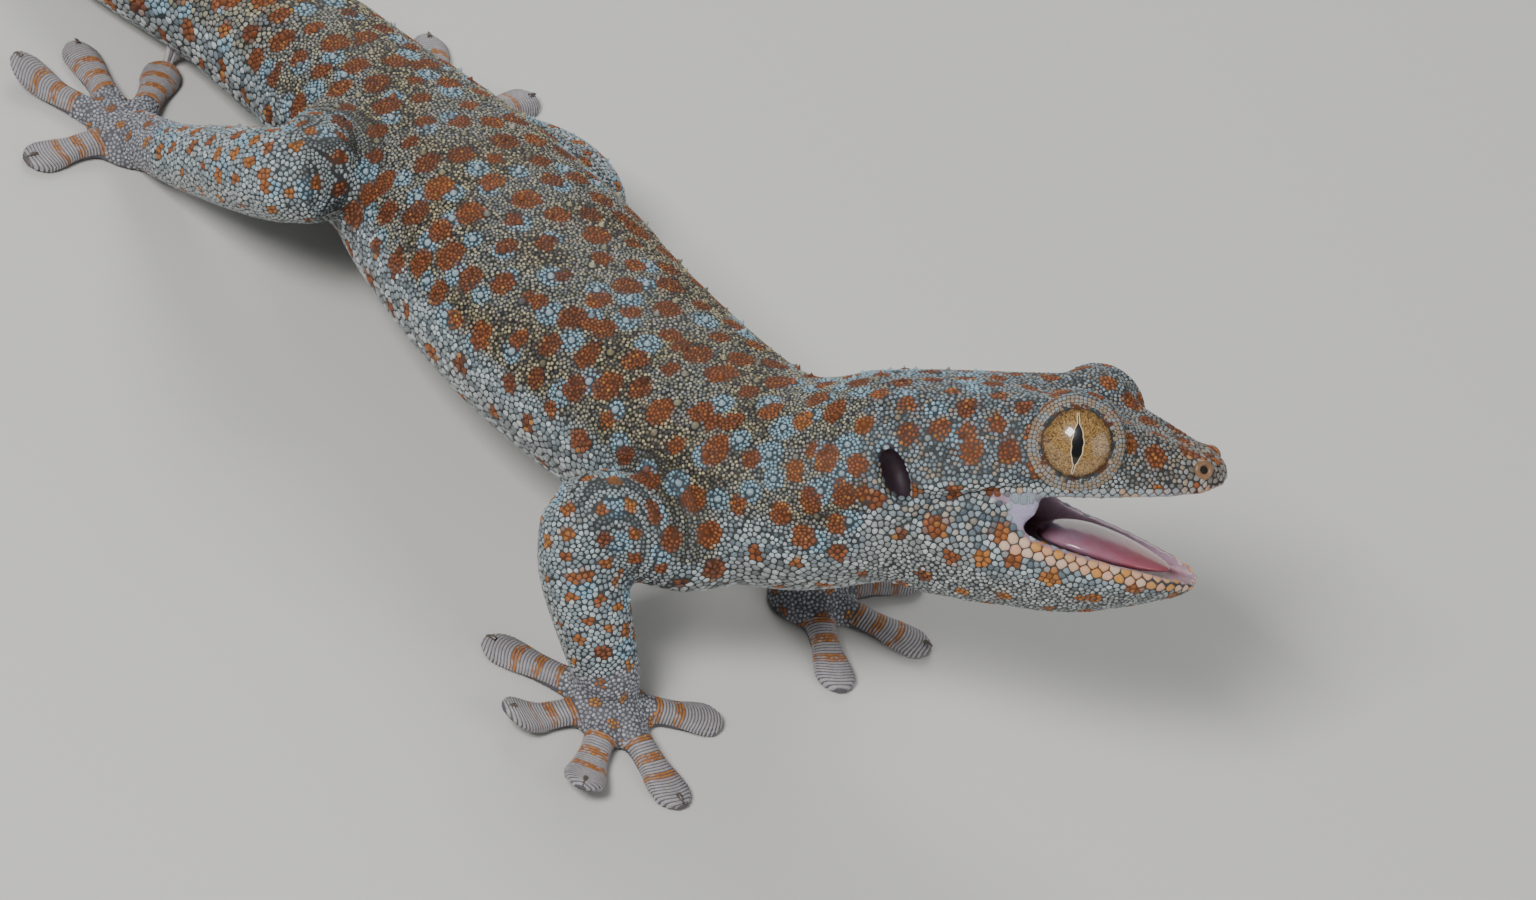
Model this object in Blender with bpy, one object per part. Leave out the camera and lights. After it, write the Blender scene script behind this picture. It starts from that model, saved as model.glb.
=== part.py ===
# Tokay gecko, life size: it stands with its forequarters and head raised, its head turned left and its mouth open.
# Lengths are millimetres in the body's frame: X forwards, Y to the animal's left, Z up from the floor.
# The whole skin is built as one closed surface and parted with thin cuts where a person would name its parts.
import math

import bmesh
import bpy
from mathutils import Matrix, Vector
from mathutils.bvhtree import BVHTree

TO_METRES = 0.001
GAP = 0.3
VOXEL = 0.55
SKIN_FACES = 8000

# Driving sizes of an adult with a snout to vent length of 160.
jaw_joint = Vector((3.0, 0.0, -2.0))
gape_deg = 15.5
eye_radius = 6.2
eye_place = Vector((22.3, 7.5, 7.9))
eye_opening = 4.8
ear_place = Vector((0.0, 15.2, 3.0))
nostril_place = Vector((38.6, 4.9, 4.5))
toe_width = 3.2
tubercle_radius = 0.95
tubercle_height = 0.95

# The head's own frame: X to the snout, Z up, origin at the ears on the plane of the lips.
head_origin = Vector((13.6, 10.3, 38.3))
head_yaw, head_pitch, head_roll = 39.5, 19.6, -26.6


def head_matrix():
    turn = (
        Matrix.Rotation(math.radians(head_yaw), 4, "Z")
        @ Matrix.Rotation(math.radians(-head_pitch), 4, "Y")
        @ Matrix.Rotation(math.radians(head_roll), 4, "X")
    )
    return Matrix.Translation(head_origin) @ turn


def jaw_matrix():
    """The lower jaw hangs from its joint, opened by the gape."""
    swing = Matrix.Rotation(math.radians(gape_deg), 4, "Y")
    return head_matrix() @ Matrix.Translation(jaw_joint) @ swing @ Matrix.Translation(-jaw_joint)


def smooth(stations, steps):
    """Rows read from a Catmull-Rom curve through the stations, with this many steps from each to the next."""
    rows = []
    last = len(stations) - 1
    for i in range(last):
        a, b, c, d = (stations[min(max(j, 0), last)] for j in (i - 1, i, i + 1, i + 2))
        for step in range(steps):
            t = step / steps
            rows.append(
                tuple(
                    0.5 * (2 * q + (r - p) * t + (2 * p - 5 * q + 4 * r - s) * t**2 + (3 * q - p - 3 * r + s) * t**3)
                    for p, q, r, s in zip(a, b, c, d)
                )
            )
    rows.append(tuple(stations[last]))
    return rows


def loft(bm, rings):
    """Joins rings of equal count into a closed tube with flat ends."""
    grid = [[bm.verts.new(point) for point in ring] for ring in rings]
    count = len(rings[0])
    for low, high in zip(grid, grid[1:]):
        for k in range(count):
            bm.faces.new((low[k], low[(k + 1) % count], high[(k + 1) % count], high[k]))
    bm.faces.new(list(reversed(grid[0])))
    bm.faces.new(grid[-1])


def oval(centre, forward, up, half_width, above, below, count=24, power=2.2):
    """A ring across forward, fuller than an ellipse, with its own height above and below its centre."""
    left = up.cross(forward).normalized()
    top = forward.cross(left).normalized()
    ring = []
    for k in range(count):
        angle = 2 * math.pi * k / count
        c, s = math.cos(angle), math.sin(angle)
        side = half_width * math.copysign(abs(c) ** (2 / power), c)
        rise = math.copysign(abs(s) ** (2 / power), s) * (above if s > 0 else below)
        ring.append(centre + left * side + top * rise)
    return ring


def tube(bm, rows, up_of, power=2.0, count=16):
    """Lofts rows of (x, y, z, half width, above, below) along their own path."""
    centres = [Vector(row[:3]) for row in rows]
    rings = []
    for k, row in enumerate(rows):
        forward = (centres[min(k + 1, len(rows) - 1)] - centres[max(k - 1, 0)]).normalized()
        rings.append(oval(centres[k], forward, up_of(k / (len(rows) - 1)), *row[3:], count=count, power=power))
    loft(bm, rings)


# Trunk and tail: x, y, z of the middle, half width, height above and depth below it.
trunk_stations = [
    (-238, 20, 0.8, 0.7, 0.7, 0.9),
    (-218, 18, 1.8, 1.9, 1.8, 2.0),
    (-196, 8, 3.2, 3.4, 3.2, 3.4),
    (-171, -3, 4.9, 5.2, 4.9, 5.1),
    (-147, -3, 7.2, 7.6, 6.8, 7.2),
    (-124, 4.4, 10.2, 10.6, 9.0, 9.2),
    (-108, 5.8, 12.9, 12.0, 10.0, 10.0),
    (-92, 4.9, 15.8, 13.3, 10.8, 10.6),
    (-80, 4.0, 17.6, 15.2, 11.9, 12.2),
    (-66, 2.0, 19.4, 18.0, 13.3, 13.6),
    (-50, 0.0, 21.2, 19.2, 13.9, 14.2),
    (-36, -1.4, 22.6, 18.6, 13.7, 14.2),
    (-20, -1.6, 24.8, 17.3, 13.5, 14.0),
    (-7, -1.0, 27.0, 16.2, 13.5, 13.8),
    (2, 0.6, 30.2, 15.4, 13.6, 13.8),
    (8.2, 4.3, 34.4, 14.4, 13.4, 13.8),
    (13.8, 9.9, 39.2, 13.6, 12.6, 12.8),
    (21, 16, 42.0, 10.5, 9.0, 10.0),
]


def trunk_up(share):
    """Straight up along the body, then leaning with the head over the last stretch."""
    lean = min(max((share - 0.78) / 0.16, 0.0), 1.0)
    head_up = head_matrix().to_3x3() @ Vector((0, 0, 1))
    return Vector((0, 0, 1)).lerp(head_up, lean * lean * (3 - 2 * lean)).normalized()


# Limbs: x, y, z, half width, above, below, from inside the body to inside the foot.
def limb(places, radii):
    return [(*place, radius, radius, radius) for place, radius in zip(places, radii)]


arm_radii = (8.0, 7.4, 6.5, 6.3, 5.9, 5.5, 4.9, 4.5, 3.4)
leg_radii = (8.5, 8.4, 7.6, 6.7, 6.4, 5.6, 4.7, 4.2, 3.4)
limb_places = {
    "right_fore": (
        (2, -6, 25), (0.5, -14, 23.5), (-3, -20, 25.5), (-6.2, -25, 26.0), (-4.2, -26.2, 20),
        (-0.4, -25.4, 14), (2.6, -24, 8.5), (4.6, -23.2, 5.0), (6.2, -22.6, 2.4),
    ),
    "left_fore": (
        (-5, 5, 23.5), (-5.5, 13, 21.5), (-7.6, 19.8, 20.8), (-10.8, 26.2, 19.4), (-10.2, 27, 16.0),
        (-7.8, 26, 12.6), (-4.4, 23, 8.2), (-1.8, 19.8, 5.0), (1, 17, 2.4),
    ),
    "right_hind": (
        (-84, 0, 18), (-82.5, -7, 18.5), (-80, -13.5, 21.5), (-77, -19.5, 23.5), (-84, -20.6, 19),
        (-92, -20.2, 13.6), (-99.5, -19.4, 8.4), (-105.5, -18.6, 5.0), (-112, -17.8, 2.4),
    ),
    "left_hind": (
        (-86, 6, 17), (-80.5, 13.5, 15.4), (-74, 20, 14.6), (-66, 25, 13.0), (-71.5, 28.4, 11.4),
        (-78.5, 29.4, 9.6), (-85.4, 29.4, 7.0), (-91, 29.4, 4.6), (-97, 29, 2.4),
    ),
}
limb_sizes = {"fore": arm_radii, "hind": leg_radii}

# Toes, first to fifth: direction in degrees from forwards towards the left, and length from the palm's middle.
toes = {
    "right_fore": ((58, 15.8), (-7, 18.7), (-53, 19.2), (-104, 17.0), (-155, 19.8)),
    "left_fore": ((-24, 17.8), (34, 18.7), (80, 19.6), (126, 18.8), (174, 17.5)),
    "right_hind": ((60, 14.5), (128, 19.5), (168, 21.5), (-158, 21.0), (-96, 17.5)),
    "left_hind": ((-62, 14.5), (-132, 19.5), (-172, 21.5), (152, 21.0), (92, 17.5)),
}
# The pads that the animal is peeling off the bark, and how far their tips are raised.
lifted = {("right_fore", 2): 3.4, ("right_fore", 3): 3.8, ("right_hind", 3): 3.0}
palm_radius = {"fore": 6.0, "hind": 6.4}
palm_height = 4.2
# Along a toe: share of its length, half width as a share of the pad's, height of its back over the floor.
toe_stations = (
    (0.00, 0.80, 3.9),
    (0.28, 0.74, 3.3),
    (0.46, 0.68, 2.9),
    (0.60, 0.78, 2.4),
    (0.74, 0.98, 2.0),
    (0.86, 1.00, 1.8),
    (0.94, 0.72, 1.6),
    (1.00, 0.30, 1.3),
)


def toe(bm, palm, direction_deg, length, lift):
    along = Vector((math.cos(math.radians(direction_deg)), math.sin(math.radians(direction_deg)), 0))
    rows = []
    for share, width, height in toe_stations:
        raised = lift * max(0.0, (share - 0.55) / 0.45) ** 1.6
        place = palm + along * (share * length)
        rows.append((place.x, place.y, 0.4 + raised, width * toe_width, height - 0.4, 0.9))
    tube(bm, smooth(rows, 3), lambda share: Vector((0, 0, 1)), power=2.4, count=14)


def foot(bm, name):
    kind = name.split("_")[1]
    palm = Vector((*limb_places[name][-1][:2], 0))
    radius = palm_radius[kind]
    shape = Matrix.Translation(palm) @ Matrix.Diagonal((radius, radius, palm_height, 1))
    bmesh.ops.create_uvsphere(bm, u_segments=20, v_segments=12, radius=1, matrix=shape)
    for index, (direction_deg, length) in enumerate(toes[name]):
        toe(bm, palm, direction_deg, length, lifted.get((name, index), 0.0))


# Upper head, from the neck to the snout: x, crown z, brow y and z, cheek y and z, lip y, palate z.
head_stations = [
    (-9, 12.4, 9.0, 10.8, 13.2, 1.0, 12.4, -6.0),
    (-3, 13.2, 9.6, 11.5, 14.8, 1.0, 14.2, -4.0),
    (4, 13.4, 9.8, 12.1, 15.6, 2.0, 15.0, -2.0),
    (11, 13.3, 9.6, 12.5, 15.0, 3.8, 14.6, 1.6),
    (16.6, 12.6, 9.5, 13.0, 13.5, 4.8, 13.4, 3.2),
    (22, 11.5, 9.4, 13.1, 12.3, 5.0, 12.4, 3.8),
    (26, 10.3, 8.1, 11.6, 11.2, 4.6, 11.3, 3.6),
    (30, 8.9, 6.7, 9.6, 10.0, 4.2, 10.2, 3.2),
    (34.4, 7.3, 5.0, 7.6, 8.2, 3.9, 8.5, 2.8),
    (38.2, 5.9, 3.6, 6.0, 5.9, 3.6, 6.1, 2.3),
    (40.4, 5.0, 2.2, 5.0, 3.6, 3.4, 3.6, 2.0),
    (41.4, 4.0, 0.9, 3.9, 1.4, 3.1, 1.4, 2.0),
]
# Lower jaw, closed: x, lip y and z, floor of the mouth z, cheek y and z, throat y and z.
jaw_stations = [
    (-9, 11.0, 5.0, 6.0, 12.6, -4.0, 6.5, -13.4),
    (-2, 12.6, 5.0, 6.0, 14.2, -4.0, 7.0, -14.2),
    (5, 13.2, 5.0, 6.0, 14.6, -4.6, 7.4, -14.2),
    (10.4, 13.0, 4.0, 2.4, 14.2, -5.2, 7.4, -13.6),
    (13.6, 12.8, 1.8, -3.0, 13.6, -5.4, 7.2, -13.0),
    (17.4, 12.4, -0.1, -3.8, 13.0, -5.2, 6.8, -12.2),
    (22, 11.8, -0.5, -3.8, 12.3, -4.8, 6.2, -11.4),
    (27, 10.5, -0.5, -3.6, 11.0, -4.2, 5.2, -9.9),
    (31.4, 8.8, -0.5, -3.2, 9.2, -3.6, 4.2, -7.8),
    (35.2, 6.6, -0.5, -2.6, 6.8, -3.0, 2.9, -5.8),
    (38.2, 3.7, -0.6, -2.0, 3.8, -2.4, 1.5, -4.1),
    (39.6, 1.4, -0.9, -1.6, 1.5, -2.0, 0.6, -2.8),
]


def outline(points, x, count=28):
    """A smooth closed ring at x through half an outline, given from the top middle to the bottom middle."""
    whole = points + [(-y, z) for y, z in reversed(points[1:-1])]
    closed = whole[-1:] + whole + whole[:2]
    rows = smooth(closed, 8)[8:-8]
    picks = [rows[round(k * (len(rows) - 1) / count)] for k in range(count)]
    return [Vector((x, y, z)) for y, z in reversed(picks)]


def upper_head(bm, place):
    rings = []
    for x, crown, brow_y, brow_z, cheek_y, cheek_z, lip_y, palate in smooth(head_stations, 3):
        half = [
            (0, crown), (brow_y, brow_z), (cheek_y, cheek_z), (lip_y, 1.6),
            (lip_y * 0.9, 0.7), (lip_y * 0.74, palate * 0.6 + 0.5), (0, palate),
        ]
        rings.append([place @ point for point in outline(half, x)])
    loft(bm, rings)


def lower_jaw(bm, place):
    rings = []
    for x, lip_y, lip_z, floor_z, cheek_y, cheek_z, throat_y, throat_z in smooth(jaw_stations, 3):
        half = [
            (0, floor_z), (lip_y * 0.66, floor_z * 0.9 + lip_z * 0.1), (lip_y * 0.88, lip_z - 0.4), (lip_y, lip_z - 0.2),
            (cheek_y, cheek_z), (throat_y, throat_z * 0.94), (0, throat_z),
        ]
        rings.append([place @ point for point in outline(half, x)])
    loft(bm, rings)


def on_side(place, side):
    return Vector((place.x, place.y * side, place.z))


def eye_axis(side):
    return Vector((0.16, side, 0.10)).normalized()


def ring_round(bm, place, centre, axis, major, minor):
    """A rolled rim: a torus about axis."""
    turn = axis.to_track_quat("Z", "Y").to_matrix().to_4x4()
    shape = place @ Matrix.Translation(centre) @ turn
    rings = []
    for k in range(28):
        spin = Matrix.Rotation(2 * math.pi * k / 28, 4, "Z")
        ring = [Vector((major + minor * math.cos(a), 0, minor * math.sin(a))) for a in
                (2 * math.pi * j / 8 for j in range(8))]
        rings.append([bm.verts.new(shape @ spin @ point) for point in ring])
    for low, high in zip(rings, rings[1:] + rings[:1]):
        for j in range(8):
            bm.faces.new((low[j], high[j], high[(j + 1) % 8], low[(j + 1) % 8]))


def rims(bm, place):
    """The fixed lids round each eye and the rim of each nostril."""
    reach = math.sqrt(eye_radius**2 - eye_opening**2)
    for side in (1, -1):
        axis = eye_axis(side)
        ring_round(bm, place, on_side(eye_place, side) + axis * (reach - 0.2), axis, eye_opening + 0.75, 0.85)
        outward = Vector((0.35, side, 0.35)).normalized()
        ring_round(bm, place, on_side(nostril_place, side) + outward * 0.1, outward, 1.2, 0.55)


def new_object(name, bm, colour=None):
    bmesh.ops.recalc_face_normals(bm, faces=bm.faces)
    mesh = bpy.data.meshes.new(name)
    bm.to_mesh(mesh)
    bm.free()
    thing = bpy.data.objects.new(name, mesh)
    bpy.context.scene.collection.objects.link(thing)
    if colour is not None:
        mesh.materials.append(colour)
    return thing


def apply_modifiers(thing):
    """Bakes the modifiers into the object's own mesh."""
    graph = bpy.context.evaluated_depsgraph_get()
    baked = bpy.data.meshes.new_from_object(thing.evaluated_get(graph))
    thing.modifiers.clear()
    thing.data = baked


def whole_skin():
    """Every part of flesh fused into one surface, then thinned to the faces that its shape needs."""
    bm = bmesh.new()
    tube(bm, smooth(trunk_stations, 4), trunk_up, power=2.2, count=28)
    for name, places in limb_places.items():
        radii = limb_sizes[name.split("_")[1]]
        tube(bm, smooth(limb(places, radii), 3), lambda share: Vector((0.3, 0, 1)), count=16)
        foot(bm, name)
    upper_head(bm, head_matrix())
    lower_jaw(bm, jaw_matrix())
    rims(bm, head_matrix())
    skin = new_object("skin", bm)
    fuse = skin.modifiers.new("fuse", "REMESH")
    fuse.mode = "VOXEL"
    fuse.voxel_size = VOXEL
    soften = skin.modifiers.new("soften", "SMOOTH")
    soften.iterations = 4
    soften.factor = 0.5
    apply_modifiers(skin)
    thin = skin.modifiers.new("thin", "DECIMATE")
    thin.ratio = SKIN_FACES / (2 * len(skin.data.polygons))
    apply_modifiers(skin)
    return skin


def guide(name, bm):
    thing = new_object(name, bm)
    thing.hide_render = True
    thing.display_type = "WIRE"
    return thing


def disc(bm, centre, normal, reach):
    """A thin disc across normal that parts what it passes through."""
    turn = normal.to_track_quat("Z", "Y").to_matrix().to_4x4()
    place = Matrix.Translation(centre) @ turn
    bmesh.ops.create_cone(bm, cap_ends=True, segments=24, radius1=reach, radius2=reach, depth=GAP, matrix=place)


def trunk_cut(bm, x, reach):
    """A disc square across the trunk or tail where its middle line passes x."""
    rows = smooth(trunk_stations, 12)
    k = min(range(1, len(rows) - 1), key=lambda i: abs(rows[i][0] - x))
    here = Vector(rows[k][:3])
    disc(bm, here, (Vector(rows[k + 1][:3]) - Vector(rows[k - 1][:3])).normalized(), reach)


trunk_cuts = ((-42, 26), (-103, 14.5), (-128, 12), (-153, 10), (-180, 8), (-207, 6))
# Where each limb leaves the side of the trunk: centre and outward direction of the cut.
limb_roots = {
    "right_fore": ((-2.6, -19.0, 25.0), (-0.1, -1, 0.05), 9.2),
    "left_fore": ((-7.0, 17.9, 21.2), (-0.1, 1, 0.05), 10.5),
    "right_hind": ((-80.3, -13.0, 20.5), (-0.22, -0.97, 0.1), 11.4),
    "left_hind": ((-73.0, 20.9, 14.5), (-0.08, 1, -0.25), 13.2),
}
bend_reach = {"right_fore": 12.2, "left_fore": 14.6, "right_hind": 14.6, "left_hind": 17.6}
end_reach = 6.6


def limb_cuts(name):
    """Centre, normal and reach of the cuts at the root, the bend and the wrist or ankle of a limb."""
    points = [Vector(place) for place in limb_places[name]]
    inward, outward = (points[3] - points[2]).normalized(), (points[4] - points[3]).normalized()
    knuckle = (inward - outward).normalized()
    root, root_normal, root_reach = limb_roots[name]
    return (
        (Vector(root), Vector(root_normal).normalized(), root_reach),
        (points[3].lerp(points[4], 0.2) + knuckle, (inward + outward).normalized(), bend_reach[name]),
        (points[6].lerp(points[7], 0.3), (points[7] - points[6]).normalized(), end_reach),
    )


def jaw_cut(bm):
    """From the corner of the mouth down and back to the throat."""
    top, bottom = Vector((16.2, 0, -0.2)), Vector((1.5, 0, -20))
    along = (top - bottom).normalized()
    shape = Matrix((along, Vector((0, 1, 0)), along.cross(Vector((0, 1, 0))))).transposed().to_4x4()
    size = Matrix.Diagonal(((top - bottom).length, 40, GAP, 1))
    place = head_matrix() @ Matrix.Translation((top + bottom) / 2) @ shape @ size
    bmesh.ops.create_cube(bm, size=1, matrix=place)


def carve(bm, place, centre, axis, radii):
    """An ellipsoid with its long way out along axis."""
    turn = axis.to_track_quat("Z", "Y").to_matrix().to_4x4()
    shape = place @ Matrix.Translation(centre) @ turn @ Matrix.Diagonal((*radii, 1))
    bmesh.ops.create_uvsphere(bm, u_segments=18, v_segments=12, radius=1, matrix=shape)


def hollows(bm):
    """Eye sockets, ear openings and nostrils."""
    head = head_matrix()
    for side in (1, -1):
        turn = Matrix.Translation(on_side(eye_place, side)) @ Matrix.Scale(eye_radius + GAP, 4)
        bmesh.ops.create_icosphere(bm, subdivisions=3, radius=1, matrix=head @ turn)
        carve(bm, head, on_side(ear_place, side), Vector((0, side, 0)), (1.9, 3.8, 4.4))
        outward = Vector((0.35, side, 0.35)).normalized()
        carve(bm, head, on_side(nostril_place, side), outward, (0.75, 0.75, 1.6))


def floor_block(bm):
    shape = Matrix.Translation((-90, 0, -10)) @ Matrix.Diagonal((400, 200, 20, 1))
    bmesh.ops.create_cube(bm, size=1, matrix=shape)


def combine(skin, name, bm, operation):
    """Joins the mesh to the skin or takes it away."""
    tool = guide(name, bm)
    change = skin.modifiers.new(name, "BOOLEAN")
    change.operation = operation
    change.object = tool
    apply_modifiers(skin)
    bpy.data.objects.remove(tool)


def subtract(skin, name, build):
    bm = bmesh.new()
    build(bm)
    combine(skin, name, bm, "DIFFERENCE")


# Rows of tubercles: from x to x, step along the body, and the angles of the rows from the middle of the back.
tubercle_rows = (
    (6, -100, 7.6, (-63, -46, -28, -10, 10, 28, 46, 63)),
    (-106, -222, 9.5, (-52, -18, 18, 52)),
)
cut_clearance = 1.6


def tubercle_places(skin):
    """Points and outward normals on the back, in staggered rows, clear of the cuts across the trunk."""
    tree = BVHTree.FromPolygons([v.co for v in skin.data.vertices], [p.vertices for p in skin.data.polygons])
    rows = smooth(trunk_stations, 12)
    for front, back, step, angles in tubercle_rows:
        for index in range(int((front - back) / step)):
            for order, angle in enumerate(angles):
                x = front - step * (index + 0.5 * (order % 2))
                k = min(range(1, len(rows) - 1), key=lambda i: abs(rows[i][0] - x))
                if any(abs(rows[k][0] - cut) < cut_clearance for cut, reach in trunk_cuts):
                    continue
                middle = Vector(rows[k][:3])
                forward = (Vector(rows[k + 1][:3]) - Vector(rows[k - 1][:3])).normalized()
                outward = Matrix.Rotation(math.radians(angle), 3, forward) @ Vector((0, 0, 1))
                hit, normal, _, _ = tree.ray_cast(middle + outward * 40, -outward)
                if hit and (hit - middle).length < 1.3 * rows[k][3]:
                    yield hit, (normal - 0.35 * forward).normalized()


def tubercles(skin):
    """Low five-sided cones with their roots sunk in the skin, leaning back."""
    bm = bmesh.new()
    for hit, lean in tubercle_places(skin):
        turn = Matrix.Translation(hit) @ lean.to_track_quat("Z", "Y").to_matrix().to_4x4()
        size = min(1.0, 0.45 + hit.z / 22)
        ring = []
        for k in range(5):
            angle = 2 * math.pi * k / 5
            side = tubercle_radius * size * 1.5
            ring.append(bm.verts.new(turn @ Vector((side * math.cos(angle), side * math.sin(angle), -0.5))))
        tip = bm.verts.new(turn @ Vector((0, 0, tubercle_height * size)))
        bm.faces.new(list(reversed(ring)))
        for k in range(5):
            bm.faces.new((ring[k], ring[(k + 1) % 5], tip))
    combine(skin, "tubercles", bm, "UNION")


def part_with_cuts(skin):
    """Cuts one after another, since some of them cross."""
    for x, reach in trunk_cuts:
        subtract(skin, "cut", lambda bm: trunk_cut(bm, x, reach))
    for name in limb_places:
        for centre, normal, reach in limb_cuts(name):
            subtract(skin, "cut", lambda bm: disc(bm, centre, normal, reach))
    head = head_matrix()
    ears = head @ Vector((-4.4, 0, 0)), head.to_3x3() @ Vector((1, 0, 0)), 22
    chest = Vector((6.0, 2.9, 32.4)), Vector((0.74, 0.32, 0.59)).normalized(), 21
    for centre, normal, reach in (ears, chest):
        subtract(skin, "cut", lambda bm: disc(bm, centre, normal, reach))
    subtract(skin, "cut", jaw_cut)


def islands(bm):
    """The separate closed surfaces of a mesh, each as a list of faces."""
    left = set(bm.faces)
    found = []
    while left:
        edge = [left.pop()]
        island = list(edge)
        while edge:
            face = edge.pop()
            for near in (other for e in face.edges for other in e.link_faces):
                if near in left:
                    left.discard(near)
                    island.append(near)
                    edge.append(near)
        found.append(island)
    return found


def anchors():
    """A point near the middle of each node of flesh."""
    head, jaw = head_matrix(), jaw_matrix()
    named = {
        "head": head @ Vector((16, 0, 6)),
        "lower_jaw": jaw @ Vector((25, 0, -5)),
        "neck": Vector((6.5, 4.5, 34)),
        "torso_front": Vector((-20, -1, 24)),
        "torso_rear": Vector((-70, 2, 18)),
    }
    edges = [x for x, reach in trunk_cuts[1:]] + [trunk_stations[0][0]]
    rows = smooth(trunk_stations, 12)
    for index, (near, far) in enumerate(zip(edges, edges[1:])):
        middle = min(rows, key=lambda row: abs(row[0] - (near + far) / 2))
        named[f"tail_{index + 1}"] = Vector(middle[:3])
    for name, places in limb_places.items():
        side, kind = name.split("_")
        upper, lower, end = ("upper_arm", "forearm", "forefoot") if kind == "fore" else ("thigh", "shin", "hindfoot")
        points = [Vector(place) for place in places]
        named[f"{upper}_{side}"] = points[2].lerp(points[3], 0.5)
        named[f"{lower}_{side}"] = points[5]
        named[f"{end}_{side}"] = points[8]
    return named


def part_nodes(skin, colour):
    """Splits the cut skin into one object for each anchor, and drops loose scraps."""
    bm = bmesh.new()
    bm.from_mesh(skin.data)
    bmesh.ops.triangulate(bm, faces=bm.faces)
    pieces = [piece for piece in islands(bm) if len(piece) > 60]
    centres = [sum((face.calc_center_median() * face.calc_area() for face in piece), Vector())
               / sum(face.calc_area() for face in piece) for piece in pieces]
    for name, anchor in anchors().items():
        index = min(range(len(pieces)), key=lambda i: (centres[i] - anchor).length)
        piece = bmesh.new()
        made = {}
        for face in pieces[index]:
            for v in face.verts:
                if v not in made:
                    made[v] = piece.verts.new(v.co)
            if not piece.faces.get([made[v] for v in face.verts]):
                piece.faces.new([made[v] for v in face.verts])
        new_object(name, piece, colour)
    bm.free()


def material(name, colour, roughness):
    made = bpy.data.materials.new(name)
    made.use_nodes = True
    shader = made.node_tree.nodes["Principled BSDF"]
    shader.inputs["Base Color"].default_value = (*colour, 1)
    shader.inputs["Roughness"].default_value = roughness
    return made


def eyes(colour):
    for name, side in (("eye_left", 1), ("eye_right", -1)):
        bm = bmesh.new()
        place = head_matrix() @ Matrix.Translation(on_side(eye_place, side)) @ Matrix.Scale(eye_radius, 4)
        bmesh.ops.create_icosphere(bm, subdivisions=3, radius=1, matrix=place)
        new_object(name, bm, colour)


# Tongue, in the closed jaw: x, half width, underside z, back z.
tongue_stations = [
    (17.5, 1.5, -2.6, -1.6),
    (19, 5.0, -2.7, -0.6),
    (23, 6.6, -2.8, 0.3),
    (28, 6.2, -2.7, 0.2),
    (32, 4.6, -2.3, -0.4),
    (34.6, 2.4, -1.8, -0.9),
    (35.4, 0.8, -1.5, -1.2),
]


def tongue(colour):
    bm = bmesh.new()
    rings = []
    for x, half_width, low, high in smooth(tongue_stations, 2):
        middle = Vector((x, 0, low * 0.5 + high * 0.5))
        ring = oval(middle, Vector((1, 0, 0)), Vector((0, 0, 1)), half_width, high - middle.z, middle.z - low, 14)
        rings.append([jaw_matrix() @ point for point in ring])
    loft(bm, rings)
    new_object("tongue", bm, colour)


def place_in_frame():
    """From millimetres to metres, with the origin on the floor under the middle of the whole animal."""
    things = list(bpy.context.scene.collection.objects)
    points = [v.co for thing in things for v in thing.data.vertices]
    middle = [(min(p[i] for p in points) + max(p[i] for p in points)) / 2 for i in (0, 1)]
    shift = Matrix.Scale(TO_METRES, 4) @ Matrix.Translation((-middle[0], -middle[1], 0))
    for thing in things:
        thing.data.transform(shift)
        thing.data.shade_smooth()


def main():
    for thing in list(bpy.data.objects):
        bpy.data.objects.remove(thing)
    skin = whole_skin()
    subtract(skin, "floor", floor_block)
    subtract(skin, "hollows", hollows)
    tubercles(skin)
    part_with_cuts(skin)
    part_nodes(skin, material("scaly_skin", (0.30, 0.36, 0.40), 0.55))
    bpy.data.objects.remove(skin)
    eyes(material("eye", (0.42, 0.29, 0.13), 0.12))
    tongue(material("tongue", (0.45, 0.16, 0.18), 0.35))
    place_in_frame()


main()
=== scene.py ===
import math

import bpy
import numpy as np
from mathutils import Matrix, Vector, noise
from mathutils.bvhtree import BVHTree
from mathutils.kdtree import KDTree


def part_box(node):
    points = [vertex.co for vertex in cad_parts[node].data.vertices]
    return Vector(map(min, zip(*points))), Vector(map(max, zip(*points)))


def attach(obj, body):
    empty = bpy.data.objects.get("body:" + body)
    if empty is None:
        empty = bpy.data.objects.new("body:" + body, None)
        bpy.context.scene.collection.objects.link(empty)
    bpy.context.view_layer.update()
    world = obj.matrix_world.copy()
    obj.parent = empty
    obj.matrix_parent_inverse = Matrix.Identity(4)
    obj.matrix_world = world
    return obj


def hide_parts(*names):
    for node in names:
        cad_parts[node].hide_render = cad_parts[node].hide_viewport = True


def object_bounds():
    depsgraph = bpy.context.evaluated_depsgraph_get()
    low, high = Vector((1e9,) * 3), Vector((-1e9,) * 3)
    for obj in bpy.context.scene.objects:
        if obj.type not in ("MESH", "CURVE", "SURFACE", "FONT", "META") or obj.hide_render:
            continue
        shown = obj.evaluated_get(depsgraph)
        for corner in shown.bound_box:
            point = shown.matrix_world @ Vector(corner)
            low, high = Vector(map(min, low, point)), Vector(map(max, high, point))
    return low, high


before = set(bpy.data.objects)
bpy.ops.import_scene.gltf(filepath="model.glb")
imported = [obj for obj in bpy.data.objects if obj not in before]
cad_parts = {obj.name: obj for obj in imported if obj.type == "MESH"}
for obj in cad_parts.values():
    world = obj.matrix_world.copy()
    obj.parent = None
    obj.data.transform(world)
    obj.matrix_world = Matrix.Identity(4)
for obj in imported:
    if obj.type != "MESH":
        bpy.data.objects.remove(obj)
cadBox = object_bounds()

mm = 0.001
draw = np.random.default_rng(11)


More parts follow.
